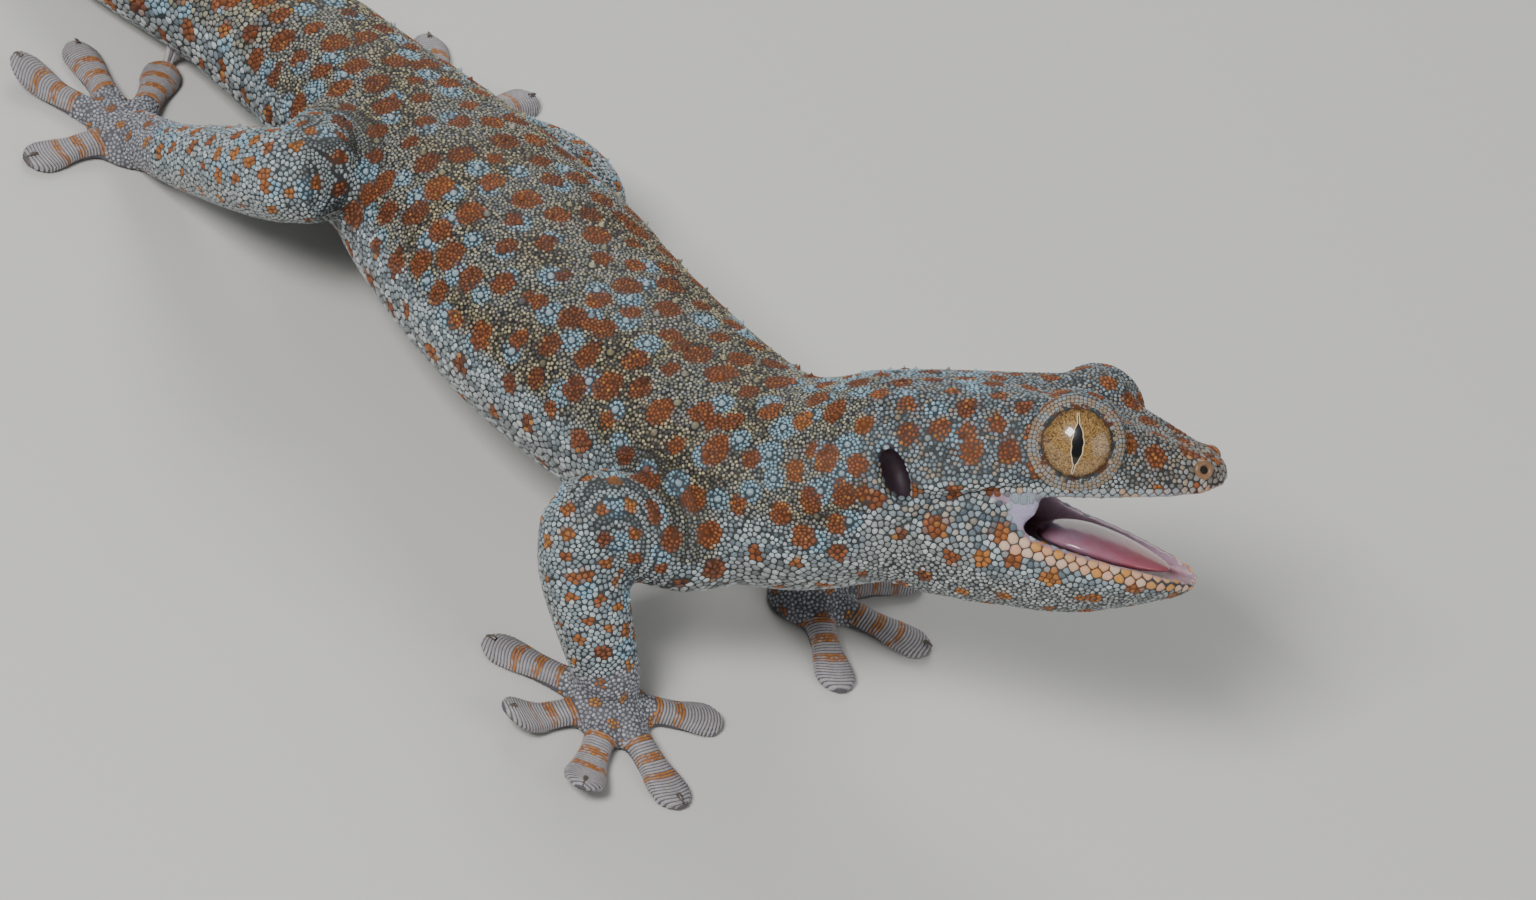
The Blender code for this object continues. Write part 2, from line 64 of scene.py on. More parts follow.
def linear(hexColour):
    # sRGB hex to linear RGB.
    parts = [int(hexColour[k:k + 2], 16) / 255 for k in (1, 3, 5)]
    return np.array([c / 12.92 if c <= 0.04045 else ((c + 0.055) / 1.055) ** 2.4 for c in parts])


def deselectAll():
    if bpy.context.object and bpy.context.object.mode != "OBJECT":
        bpy.ops.object.mode_set(mode="OBJECT")
    bpy.ops.object.select_all(action="DESELECT")


def makeActive(piece):
    deselectAll()
    piece.select_set(True)
    bpy.context.view_layer.objects.active = piece


def applyAll(piece):
    makeActive(piece)
    for modifier in list(piece.modifiers):
        bpy.ops.object.modifier_apply(modifier=modifier.name)


def settlePlace(piece):
    # Puts the piece's place, turn and size into its mesh.
    makeActive(piece)
    bpy.ops.object.transform_apply(location=True, rotation=True, scale=True)


def mergeActive():
    # Merges a copy of the frame's solids and drops its own normals.
    bpy.ops.object.mode_set(mode="EDIT")
    bpy.ops.mesh.select_all(action="SELECT")
    bpy.ops.mesh.remove_doubles(threshold=0.00001)
    bpy.ops.mesh.customdata_custom_splitnormals_clear()
    bpy.ops.object.mode_set(mode="OBJECT")


def unit(vectors):
    return vectors / np.maximum(np.linalg.norm(vectors, axis=-1, keepdims=True), 1e-9)


def smoothStep(values, low, high):
    t = np.clip((values - low) / (high - low), 0, 1)
    return t * t * (3 - 2 * t)


# Camera: the photograph's view of the animal, turned with it from the trunk to the floor
cameraWork = {
    "lensMm": 142.5,
    "sensorMm": 36.0,
    "place": (0.45191, -0.49822, 0.54452),
    "right": (0.61466, 0.73695, 0.28123),
    "up": (-0.64768, 0.26804, 0.71321),
}


def makeCamera(work):
    right, up = Vector(work["right"]).normalized(), Vector(work["up"]).normalized()
    back = right.cross(up).normalized()
    up = back.cross(right)
    turn = Matrix((right, up, back)).transposed()
    bpy.ops.object.camera_add(location=work["place"], rotation=turn.to_euler())
    camera = bpy.context.object
    camera.data.lens = work["lensMm"]
    camera.data.sensor_width = work["sensorMm"]
    camera.data.clip_start = 0.05
    camera.data.clip_end = 20
    bpy.context.scene.camera = camera


makeCamera(cameraWork)
print("camera placed")

# The head's frame (X to the snout, Z up) and the jaw's, opened about its joint, as the solids have them
headWork = {
    "origin": (108.5, 6.8, 38.3),
    "yawDeg": 39.5,
    "pitchDeg": 19.6,
    "rollDeg": -26.6,
    "jawJoint": (3.0, 0.0, -2.0),
    "gapeDeg": 15.5,
    "eye": (22.3, 7.5, 7.9),
    "eyeAxis": (0.16, 1.0, 0.10),
    "ear": (0.0, 15.2, 3.0),
    "nostril": (38.6, 4.9, 4.5),
}
upperLip = ((-9, 12.4), (-3, 14.2), (4, 15.0), (11, 14.6), (16.6, 13.4), (22, 12.4), (26, 11.3),
            (30, 10.2), (34.4, 8.5), (38.2, 6.1), (40.4, 3.6), (41.4, 1.4))
lowerLip = ((-9, 11.0), (5, 13.2), (10.4, 13.0), (13.6, 12.8), (17.4, 12.4), (22, 11.8), (27, 10.5),
            (31.4, 8.8), (35.2, 6.6), (38.2, 3.7), (39.6, 1.4))

headTurn = (
    Matrix.Translation(headWork["origin"])
    @ Matrix.Rotation(math.radians(headWork["yawDeg"]), 4, "Z")
    @ Matrix.Rotation(math.radians(-headWork["pitchDeg"]), 4, "Y")
    @ Matrix.Rotation(math.radians(headWork["rollDeg"]), 4, "X")
)
jawJoint = Vector(headWork["jawJoint"])
jawTurn = (
    headTurn
    @ Matrix.Translation(jawJoint)
    @ Matrix.Rotation(math.radians(headWork["gapeDeg"]), 4, "Y")
    @ Matrix.Translation(-jawJoint)
)


def within(turn, points):
    # The points in that frame's own axes.
    inverse = np.array(turn.inverted())
    return points @ inverse[:3, :3].T + inverse[:3, 3]


def within3(turn, directions):
    return directions @ np.array(turn.to_3x3().inverted()).T


def outOf(turn, points):
    matrix = np.array(turn)
    return np.atleast_2d(points) @ matrix[:3, :3].T + matrix[:3, 3]


def lipY(table, x):
    return np.interp(x, [row[0] for row in table], [row[1] for row in table])


def middleOf(node):
    low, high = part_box(node)
    return np.array((low + high) / 2) / mm


sides = (("left", 1), ("right", -1))
fleshNodes = ["head", "lower_jaw", "neck", "torso_front", "torso_rear", "tail_1", "tail_2", "tail_3", "tail_4",
              "tail_5"]
limbNodes = ["upper_arm", "forearm", "forefoot", "thigh", "shin", "hindfoot"]
fleshNodes += [f"{part}_{side}" for part in limbNodes for side, sign in sides]

# Toes, first to fifth: direction in degrees from forwards towards the left
feet = {
    "forefoot_right": {"palm": (101.1, -26.1), "toes": (58, -7, -53, -104, -155)},
    "forefoot_left": {"palm": (95.9, 13.5), "toes": (-24, 34, 80, 126, 174)},
    "hindfoot_right": {"palm": (-17.1, -21.3), "toes": (60, 128, 168, -158, -96)},
    "hindfoot_left": {"palm": (-2.1, 25.5), "toes": (-62, -132, -172, 152, 92)},
}

# Skin: copies of the flesh nodes grown until the cuts close, fused, softened, then drawn in by the scales' depth
skinWork = {"voxelMm": 0.5, "growMm": 0.3, "trunkRounds": 40, "coatDepthMm": 0.24, "toeDepthMm": 0.16}
lidWork = {"ringMm": 5.6, "tubeMm": 0.9, "outMm": 3.6, "segments": 64, "hoodMm": 6.7, "openMm": 4.74, "underMm": 5.8}
cornerWork = {"place": (15.9, 11.6, 0.1), "radiiMm": (2.7, 1.4, 2.9)}


def eyeFrame(sign):
    # The eye's own frame on that side: Z out along its axis, Y up the slit of the pupil.
    x, y, z = headWork["eyeAxis"]
    axis = Vector((x, y * sign, z)).normalized()
    upright = Vector((0.06, 0, 1))
    up = (upright - axis * axis.dot(upright)).normalized()
    turn = Matrix((up.cross(axis), up, axis)).transposed().to_4x4()
    x, y, z = headWork["eye"]
    return headTurn @ Matrix.Translation((x, y * sign, z)) @ turn


def seatOf(turn):
    # Place and turn, in metres, for an operator that adds a primitive.
    return {"location": turn.translation * mm, "rotation": turn.to_euler()}


def addRing(ringMm, tubeMm, segments, sections, seat):
    bpy.ops.mesh.primitive_torus_add(major_radius=ringMm * mm, minor_radius=tubeMm * mm, major_segments=segments,
                                     minor_segments=sections, **seat)
    settlePlace(bpy.context.object)
    return bpy.context.object


def addLids(work):
    # A thick ring for each lid, and a ball of skin over the whole eye that is opened inside the ring later
    for side, sign in sides:
        bpy.ops.mesh.primitive_uv_sphere_add(segments=48, ring_count=32, radius=work["hoodMm"] * mm,
                                             **seatOf(eyeFrame(sign)))
        settlePlace(bpy.context.object)
        yield bpy.context.object
        seat = seatOf(eyeFrame(sign) @ Matrix.Translation((0, 0, work["outMm"])))
        yield addRing(work["ringMm"], work["tubeMm"], work["segments"], 20, seat)


def addMouthCorners(work):
    # The soft fold of skin between the jaws, just inside each corner of the mouth
    for side, sign in sides:
        x, y, z = work["place"]
        turn = headTurn @ Matrix.Translation((x, y * sign, z)) @ Matrix.Rotation(math.radians(12), 4, "Y")
        bpy.ops.mesh.primitive_uv_sphere_add(segments=32, ring_count=20, radius=mm, **seatOf(turn))
        bpy.context.object.scale = work["radiiMm"]
        settlePlace(bpy.context.object)
        yield bpy.context.object


def joinFlesh(work):
    added = list(addLids(lidWork)) + list(addMouthCorners(cornerWork))
    deselectAll()
    for part in added:
        part.select_set(True)
    for name in fleshNodes:
        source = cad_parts[name]
        part = bpy.data.objects.new("part_" + name, source.data.copy())
        bpy.context.scene.collection.objects.link(part)
        part.select_set(True)
        bpy.context.view_layer.objects.active = part
    bpy.ops.object.join()
    skin = bpy.context.object
    skin.name = skin.data.name = "skin"
    skin.data.materials.clear()
    mergeActive()
    grow = skin.modifiers.new("grow", "DISPLACE")
    grow.mid_level = 0
    grow.strength = work["growMm"] * mm
    fuse = skin.modifiers.new("fuse", "REMESH")
    fuse.mode = "VOXEL"
    fuse.voxel_size = work["voxelMm"] * mm
    soften = skin.modifiers.new("soften", "SMOOTH")
    soften.factor = 0.5
    soften.iterations = 4
    applyAll(skin)
    return skin


def vertexArrays(mesh):
    places = np.zeros(len(mesh.vertices) * 3)
    mesh.vertices.foreach_get("co", places)
    normals = np.zeros(len(mesh.vertices) * 3)
    mesh.vertex_normals.foreach_get("vector", normals)
    return places.reshape(-1, 3) / mm, normals.reshape(-1, 3)


def edgeArray(mesh):
    edges = np.zeros(len(mesh.edges) * 2, int)
    mesh.edges.foreach_get("vertices", edges)
    return edges.reshape(-1, 2)


def evenOut(values, edges, rounds, share):
    # Averages each vertex's value with its neighbours', share by share.
    values = values.astype(float)
    flat = values.reshape(len(values), -1)
    count = np.maximum(np.bincount(edges.ravel(), minlength=len(flat)), 1)
    for turn in range(rounds):
        for column in range(flat.shape[1]):
            total = np.bincount(edges[:, 0], flat[edges[:, 1], column], len(flat))
            total += np.bincount(edges[:, 1], flat[edges[:, 0], column], len(flat))
            flat[:, column] += share * (total / count - flat[:, column])
    return flat.reshape(values.shape)


def setPlaces(mesh, places):
    mesh.vertices.foreach_set("co", (places * mm).astype(np.float32).ravel())
    mesh.update()


def nodeIs(indices, *starts):
    return np.isin(indices, [k for k, name in enumerate(fleshNodes) if name.startswith(starts)])


def treeOf(points):
    tree = KDTree(len(points))
    for order, place in enumerate(points):
        tree.insert(Vector(place), order)
    tree.balance()
    return tree


def nearestNode(places):
    # The index in fleshNodes of the solid that each point came from.
    entries = []
    for index, name in enumerate(fleshNodes):
        entries += [(vertex.co / mm, index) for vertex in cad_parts[name].data.vertices]
    tree = treeOf([place for place, index in entries])
    return np.array([entries[tree.find(Vector(place))[1]][1] for place in places])


skin = joinFlesh(skinWork)
skinEdges = edgeArray(skin.data)
places, normals = vertexArrays(skin.data)
skinNode = nearestNode(places)
onTrunk = nodeIs(skinNode, "torso", "tail", "neck")
trunkShare = evenOut(onTrunk.astype(float), skinEdges, 6, 0.5)[:, None] * 0.5
places = evenOut(places, skinEdges, skinWork["trunkRounds"], trunkShare[:, 0])
mouthWork = {"cornerX": 12.6, "lipShare": 0.985, "earRadii": (2.1, 4.1), "earLeanDeg": 20, "earDepthMm": 12.9}


def leanEars(places, work):
    # Leans the ears' openings, their tops to the back.
    head = within(headTurn, places)
    for side, sign in sides:
        gap = head - np.array(headWork["ear"]) * (1, sign, 1)
        share = 1 - smoothStep(np.linalg.norm(gap * (1, 0.6, 1), axis=1), 4.6, 8.5)
        head[:, 0] -= gap[:, 2] * math.tan(math.radians(work["earLeanDeg"])) * share
    return outOf(headTurn, head)


places = leanEars(places, mouthWork)
setPlaces(skin.data, places)
print("skin fused:", len(skin.data.polygons), "faces")


# Which part of the skin a point is on, and what grows there
def bareShare(places, normals):
    # 1 where the skin is bare: in the mouth, the eye sockets, the ears and the nostrils.
    head, jaw = within(headTurn, places), within(jawTurn, places)
    headNormal, jawNormal = within3(headTurn, normals), within3(jawTurn, normals)
    onHead = nodeIs(skinNode, "head", "lower_jaw")
    lip = mouthWork["lipShare"]
    palate = (head[:, 0] > mouthWork["cornerX"]) & (headNormal[:, 2] < -0.1) & (head[:, 2] > -3)
    palate &= (head[:, 2] < 4.4) & (np.abs(head[:, 1]) < lip * lipY(upperLip, head[:, 0]))
    floor = (jaw[:, 0] > mouthWork["cornerX"] - 1) & (jawNormal[:, 2] > 0.1) & (jaw[:, 2] > -5.2)
    floor |= (jaw[:, 0] > mouthWork["cornerX"] + 2) & (jaw[:, 2] > -1.3) & (
        np.abs(jaw[:, 1]) < 0.95 * lipY(lowerLip, jaw[:, 0]))
    floor &= (jaw[:, 2] < 2.6) & (np.abs(jaw[:, 1]) < 1.02 * lipY(lowerLip, jaw[:, 0]))
    bare = onHead & (palate | floor)
    between = onHead & (head[:, 0] > 1) & (head[:, 0] < 34) & (head[:, 2] < 5.5) & (jaw[:, 2] > -5.5)
    between &= (jaw[:, 0] < 24) | (head[:, 2] > -0.5)
    narrower = np.minimum(lipY(upperLip, head[:, 0]), lipY(lowerLip, jaw[:, 0]))
    bare |= between & (np.abs(head[:, 1]) < 0.92 * narrower)
    mouth = bare.copy()
    sockets = np.zeros(len(places), bool)
    for side, sign in sides:
        eye = within(eyeFrame(sign), places)
        sockets |= onHead & (np.hypot(eye[:, 0], eye[:, 1]) < 4.85) & (eye[:, 2] > 1)
        ear = head - np.array(headWork["ear"]) * (1, sign, 1)
        lean = math.radians(mouthWork["earLeanDeg"])
        wide, tall = mouthWork["earRadii"]
        across = (ear[:, 0] * math.cos(lean) + ear[:, 2] * math.sin(lean)) / wide
        along = (ear[:, 2] * math.cos(lean) - ear[:, 0] * math.sin(lean)) / tall
        sockets |= onHead & (np.hypot(across, along) < 1) & (np.sign(head[:, 1]) == sign) & (
            np.abs(head[:, 1]) < mouthWork["earDepthMm"] + 0.6)
        corner = (head - np.array(cornerWork["place"]) * (1, sign, 1)) / (np.array(cornerWork["radiiMm"]) + 0.6)
        bulge = onHead & (np.linalg.norm(corner, axis=1) < 1) & (head[:, 0] > 14.6)
        bare, mouth = bare | bulge, mouth | bulge
        hole = np.array(headWork["nostril"]) * (1, sign, 1)
        sockets |= np.linalg.norm(head - hole, axis=1) < 1.5
    return (bare | sockets).astype(float), mouth.astype(float), sockets.astype(float)


# The distance from one scale's middle to the next, in millimetres
scaleWork = {
    "head": 0.56, "cheek": 0.76, "lid": 0.52, "jaw": 0.88, "throat": 0.64, "snout": 0.86,
    "back": 0.48, "side": 0.56, "flank": 0.76, "belly": 1.05,
    "tailBack": 0.7, "tailBelly": 1.2,
    "upper_arm": 0.58, "forearm": 0.7, "forefoot": 0.54,
    "thigh": 0.6, "shin": 0.7, "hindfoot": 0.54,
}


def scaleSpacing(places, normals):
    # How far apart the scales are, and how upright their part of the body is (1 on the back, 0 on the belly).
    work = scaleWork
    head, headNormal = within(headTurn, places), within3(headTurn, normals)
    jaw = within(jawTurn, places)
    upward = smoothStep(normals[:, 2], -0.35, 0.6)
    trunk = np.interp(upward, (0, 0.3, 0.42, 0.62, 0.85),
                      [work[key] for key in ("belly", "flank", "flank", "side", "back")])
    tail = work["tailBelly"] + (work["tailBack"] - work["tailBelly"]) * upward
    slim = smoothStep(-places[:, 0], 95, 143)
    tail = tail * (1 - 0.5 * slim)
    cheek = smoothStep(-head[:, 2], -5.5, -1.5) * smoothStep(-head[:, 0], -25, -16)
    face = work["head"] + (work["cheek"] - work["head"]) * cheek
    for side, sign in sides:
        eye = np.array(headWork["eye"]) * (1, sign, 1)
        near = smoothStep(-np.linalg.norm(head - eye, axis=1), -9.0, -6.8)
        face = face + (work["lid"] - face) * near
    face = face + (work["snout"] - face) * smoothStep(head[:, 0], 34, 38.5)
    throat = smoothStep(-within3(jawTurn, normals)[:, 2], 0.2, 0.75)
    chin = work["jaw"] + (work["throat"] - work["jaw"]) * throat
    spacing = trunk.copy()
    for index, name in enumerate(fleshNodes):
        here = skinNode == index
        part = name.rsplit("_", 1)[0]
        if name == "head":
            under = smoothStep(-head[:, 2], 0.5, 4.0)
            spacing[here] = (face + (chin - face) * under)[here]
        elif name == "lower_jaw":
            spacing[here] = chin[here]
        elif name == "neck":
            spacing[here] = (trunk * 0.9)[here]
        elif name.startswith("tail"):
            spacing[here] = tail[here]
        elif part in work:
            spacing[here] = work[part]
    upward = np.where(nodeIs(skinNode, "head"), smoothStep(headNormal[:, 2], -0.3, 0.5), upward)
    return spacing, upward


def closest(tree, points):
    # The nearest points on a mesh, with the faces that they lie on.
    found = [tree.find_nearest(Vector(p)) for p in points]
    return np.array([tuple(f[0]) for f in found]), np.array([f[2] for f in found])


def cornerWeights(cornerPlaces, points):
    # How much each corner of a face counts at a point on it.
    away = np.linalg.norm(cornerPlaces - points[:, None], axis=2)
    weight = 1 / (away ** 2 + 1e-4)
    return weight / weight.sum(1, keepdims=True)


def inPlane(ways, normals):
    # The ways laid along the skin, at unit length.
    return unit(ways - normals * np.einsum("ij,ij->i", ways, normals)[:, None])


def loopVertices(mesh, sides):
    ids = np.zeros(len(mesh.loops), int)
    mesh.loops.foreach_get("vertex_index", ids)
    return ids.reshape(-1, sides)


places, normals = vertexArrays(skin.data)
skinBare, skinMouth, skinSocket = bareShare(places, normals)
skinSpacing, skinUp = scaleSpacing(places, normals)
skinSpacing = evenOut(skinSpacing, skinEdges, 10, 0.5)
skinUp = evenOut(skinUp, skinEdges, 10, 0.5)
depth = np.where(nodeIs(skinNode, "forefoot", "hindfoot"), skinWork["toeDepthMm"],
                 skinWork["coatDepthMm"] * skinSpacing / 0.8)
depth = np.minimum(depth, 0.42) * (1 - 0.7 * smoothStep(-places[:, 0], 110, 143)) * (1 - 0.6 * skinBare)
depth = evenOut(depth, skinEdges, 8, 0.5)

# The fold from the corner of the mouth back under the ear, as x and z in the head's frame
foldWork = {"line": ((18.6, 3.0), (14.3, 1.7), (9.5, 0.6), (5.2, -0.2), (3.3, -2.4), (0.8, -3.9)), "depthMm": 0.6,
            "halfMm": 0.6, "lipMm": 0.22}


def foldDepth(places, work):
    head = within(headTurn, places)
    line = np.array(work["line"])
    gap = np.full(len(places), 99.0)
    above = np.zeros(len(places))
    for start, end in zip(line[:-1], line[1:]):
        run = end - start
        share = np.clip((head[:, ::2] - start) @ run / (run @ run), 0, 1)
        away = head[:, ::2] - (start + share[:, None] * run)
        far = np.linalg.norm(away, axis=1)
        closer = far < gap
        gap[closer], above[closer] = far[closer], away[closer, 1]
    side = (np.abs(head[:, 1]) > 9.5) & (np.abs(head[:, 1]) < 18)
    groove = np.exp(-(gap / work["halfMm"]) ** 2) * work["depthMm"]
    ridge = np.exp(-((gap - 1.35) / 0.7) ** 2) * (above > 0) * work["lipMm"]
    return (groove - ridge) * side


# Rows: whorls across the tail, limbs and belly, and rings of small scales round the shoulders and the knees
rowWork = {"rounds": 9, "push": 0.42, "pull": 0.4, "rowShare": 0.88, "ringShare": 0.8, "ringReachMm": 14,
           "furrowMm": 1.5, "furrowDepthMm": 0.2}
rowCentres = [middleOf(f"{part}_{side}") for part in ("upper_arm", "thigh") for side, sign in sides]


def ringAt(points, centre, node, reach):
    # How much of a ring fold there is at each point, and how far the point is from the fold's centre.
    far = np.linalg.norm(points - centre, axis=1)
    ring = smoothStep(far, 3.5, 6) * (1 - smoothStep(far, reach - 3, reach))
    return ring * nodeIs(node, "torso", "upper_arm", "thigh"), far


def foldShare(points, node, work):
    # 1 in the furrows between the rings of scales round the shoulders and knees, 0 elsewhere.
    share = np.zeros(len(points))
    for centre in rowCentres:
        ring, far = ringAt(points, centre, node, work["ringReachMm"])
        share = np.maximum(share, smoothStep(np.cos(2 * math.pi * far / work["furrowMm"]), 0.25, 0.95) * ring)
    return share


depth += foldDepth(places, foldWork) + rowWork["furrowDepthMm"] * foldShare(places, skinNode, rowWork)
places = places - normals * (depth + skinWork["growMm"])[:, None]
places = evenOut(places, skinEdges, 2, 0.3)
for side, sign in sides:
    # The eyeball shows where the skin inside the lid's ring is sunk under it.
    turn = eyeFrame(sign)
    eye = within(turn, places)
    far = np.linalg.norm(eye, axis=1)
    sunk = (np.hypot(eye[:, 0], eye[:, 1]) < lidWork["openMm"]) & (eye[:, 2] > 1)
    sunk &= (far > lidWork["underMm"]) & (far < 9)
    places[sunk] = outOf(turn, eye[sunk] * (lidWork["underMm"] / far[sunk])[:, None])


boxWork = {"easeMm": 0.9, "highMm": 0.25, "lowMm": 0.2, "floorMm": 0.12}


def easeInto(places, limit, way):
    # Eases what nears the solids' own box inside it, with room left for the scales.
    ease = boxWork["easeMm"]
    over = way * (places - limit) + ease
    return np.where(over > 0, limit + way * (ease * np.tanh(over / ease) - ease), places)


boxLow, boxHigh = (np.array(corner) / mm for corner in cadBox)
places = easeInto(places, boxHigh - boxWork["highMm"], 1)
places[:, :2] = easeInto(places[:, :2], boxLow[:2] + boxWork["lowMm"], -1)
places[:, 2] = np.maximum(places[:, 2], boxWork["floorMm"])
setPlaces(skin.data, places)
places, normals = vertexArrays(skin.data)

# Which way the scales point: towards the tail, down each limb, and out along the toes
flow = np.zeros_like(places)
for index, name in enumerate(fleshNodes):
    here = skinNode == index
    part, side = name.rsplit("_", 1) if "_" in name else (name, "")
    if name in ("head", "lower_jaw"):
        flow[here] = -np.array(headTurn.to_3x3())[:, 0]
    elif name == "neck":
        flow[here] = (-0.8, -0.3, -0.5)
    elif "foot" in name:
        flow[here] = (places - (*feet[name]["palm"], 3))[here] * (1, 1, 0.3)
    elif part in limbNodes:
        following = {"upper_arm": "forearm", "forearm": "forefoot", "thigh": "shin", "shin": "hindfoot"}[part]
        flow[here] = middleOf(f"{following}_{side}") - middleOf(name)
    else:
        flow[here] = (-1, 0, -0.08)
flow = unit(evenOut(unit(flow), skinEdges, 12, 0.5))
print("skin mapped")

corners = loopVertices(skin.data, 4)
skinTree = BVHTree.FromPolygons([Vector(p) for p in places], corners.tolist())


def onSkin(points):
    return closest(skinTree, points)


def at(values, faces, points):
    # Values of the skin's vertices at points on its faces.
    ids = corners[faces]
    weight = cornerWeights(places[ids], points)
    if values.ndim == 1:
        return (values[ids] * weight).sum(1)
    return (values[ids] * weight[:, :, None]).sum(1)


# Toes: the step from ridge to ridge, how far each bows towards the tip, and how thick and wide a toe may be
toeWork = {"fromMm": 4.8, "stepMm": 0.46, "bow": 0.13, "riseMm": 0.18, "thickMm": 2.1, "widestMm": 3.5}


def throughToe(place):
    # The toe's middle height over that place, or nothing past the toe.
    low = skinTree.ray_cast(Vector((place[0], place[1], -1.0)), Vector((0, 0, 1)))[0]
    if low is None or low.z > 6:
        return None
    high = skinTree.ray_cast(low + Vector((0, 0, 0.03)), Vector((0, 0, 1)))[0]
    return (low.z + high.z) / 2 if high else None


def toeRays(bearing):
    angle = math.radians(bearing)
    ahead = np.array((math.cos(angle), math.sin(angle), 0.0))
    return ahead, np.array((-ahead[1], ahead[0], 0.0))


def toeEnds(foot, bearing, work):
    # Where the toe leaves the palm and where its tip ends, from the palm's middle.
    palm = np.array((*foot["palm"], 0.0))
    ahead, aside = toeRays(bearing)
    first, last = work["fromMm"], work["fromMm"]
    for reach in np.arange(work["fromMm"], 26, 0.1):
        start = palm + ahead * reach
        middle = throughToe(start)
        if middle is None:
            break
        start[2] = middle
        last = reach
        top = skinTree.ray_cast(Vector(start), Vector((0, 0, 1)))[3] or 0
        sides = [skinTree.ray_cast(Vector(start), Vector(aside * k))[3] or 9 for k in (1, -1)]
        if reach < 11 and (top > work["thickMm"] or max(sides) > work["widestMm"]):
            first = reach + 0.1
    return first, last


toes = []
for name, foot in feet.items():
    toes += [(name, bearing, *toeEnds(foot, bearing, toeWork)) for bearing in foot["toes"]]


def onToe(points, node):
    # Whether each point is on a part of a toe that carries ridges.
    ridged = np.zeros(len(points), bool)
    for name, bearing, first, last in toes:
        ahead, aside = toeRays(bearing)
        gap = points[:, :2] - feet[name]["palm"]
        along, beside = gap @ ahead[:2], gap @ aside[:2]
        ridged |= (node == fleshNodes.index(name)) & (along > first + 0.6) & (np.abs(beside) < 3.6) & (
            along > 1.35 * np.abs(beside))
    return ridged


# Scales with fixed places: labials, the row under them, the lids' rings and the tubercles
fixedPlaces, fixedSpacing, fixedKind = [], [], []
kinds = {"scale": 0, "tubercle": 1, "labial": 2, "lid": 3, "chin": 4}


def fix(point, spacing, kind):
    fixedPlaces.append(point)
    fixedSpacing.append(spacing)
    fixedKind.append(kinds[kind])


labialWork = {"upperMm": 1.2, "lowerMm": 1.55, "upperRise": (0.95, 1.95), "lowerDrop": 1.0, "chinDrop": 2.3}


def alongLip(table, sign, step, firstX):
    # Points at even steps along a lip's outline, from the corner of the mouth to the snout's middle.
    xs = np.linspace(firstX, table[-1][0], 400)
    ys = lipY(table, xs)
    xs, ys = np.append(xs, xs[-1] + 0.1), np.append(ys, 0)
    run = np.concatenate([[0], np.cumsum(np.hypot(np.diff(xs), np.diff(ys)))])
    stops = np.arange(step / 2, run[-1] - step * 0.3, step)
    return np.interp(stops, run, xs), sign * np.interp(stops, run, ys)


# Rows of lid scales: radius and height in the eye's frame, how many, and their spacing
lidRows = ((5.06, 4.3, 60, 0.53), (5.58, 4.5, 62, 0.54), (6.12, 4.2, 66, 0.56))

for side, sign in sides:
    xs, ys = alongLip(upperLip, sign, labialWork["upperMm"], 15.0)
    for row, rise in enumerate(labialWork["upperRise"]):
        for x, y in zip(xs, ys):
            fix(outOf(headTurn, (x - 0.6 * row, y * 1.03, rise))[0], labialWork["upperMm"] * (1, 0.82)[row], "labial")
    xs, ys = alongLip(lowerLip, sign, labialWork["lowerMm"], 15.0)
    for x, y in zip(xs, ys):
        fix(outOf(jawTurn, (x, y * 1.06, -labialWork["lowerDrop"]))[0], labialWork["lowerMm"], "labial")
        fix(outOf(jawTurn, (x - 0.9, y * 1.03, -labialWork["chinDrop"]))[0], labialWork["lowerMm"] * 0.88, "chin")
    for radius, out, count, spacing in lidRows:
        for k in range(count):
            angle = 2 * math.pi * (k + 0.5 * (radius > 5.5)) / count
            fix(outOf(eyeFrame(sign), (radius * math.cos(angle), radius * math.sin(angle), out))[0], spacing, "lid")

# Candidates for the rest: two drawn places on each face of the skin
faceDraws = draw.random((2, 2, len(corners)))


def overFaces(values):
    # The skin's values at the candidates.
    a, b, c, d = (values[corners[:, k]] for k in range(4))
    found = []
    for u, v in faceDraws:
        if values.ndim == 2:
            u, v = u[:, None], v[:, None]
        found.append((a * (1 - u) + b * u) * (1 - v) + (d * (1 - u) + c * u) * v)
    return np.concatenate(found)


candidates = overFaces(places)
candidateTree = treeOf(candidates)


def scatter(spacing, allowed, share, taken=()):
    # Picks candidates so that none lies within its own share of the spacing from one that is picked.
    covered = ~allowed
    for place, radius in taken:
        for _, near, _ in candidateTree.find_range(Vector(place), radius):
            covered[near] = True
    picks = []
    for order in draw.permutation(len(candidates)):
        if covered[order]:
            continue
        picks.append(order)
        for _, near, _ in candidateTree.find_range(Vector(candidates[order]), share * spacing[order]):
            covered[near] = True
    return np.array(picks)


candidateNode = np.tile(skinNode[corners[:, 0]], 2)
candidateBare = overFaces(skinBare)
candidateUp = overFaces(skinUp)
candidateSpacing = overFaces(skinSpacing)


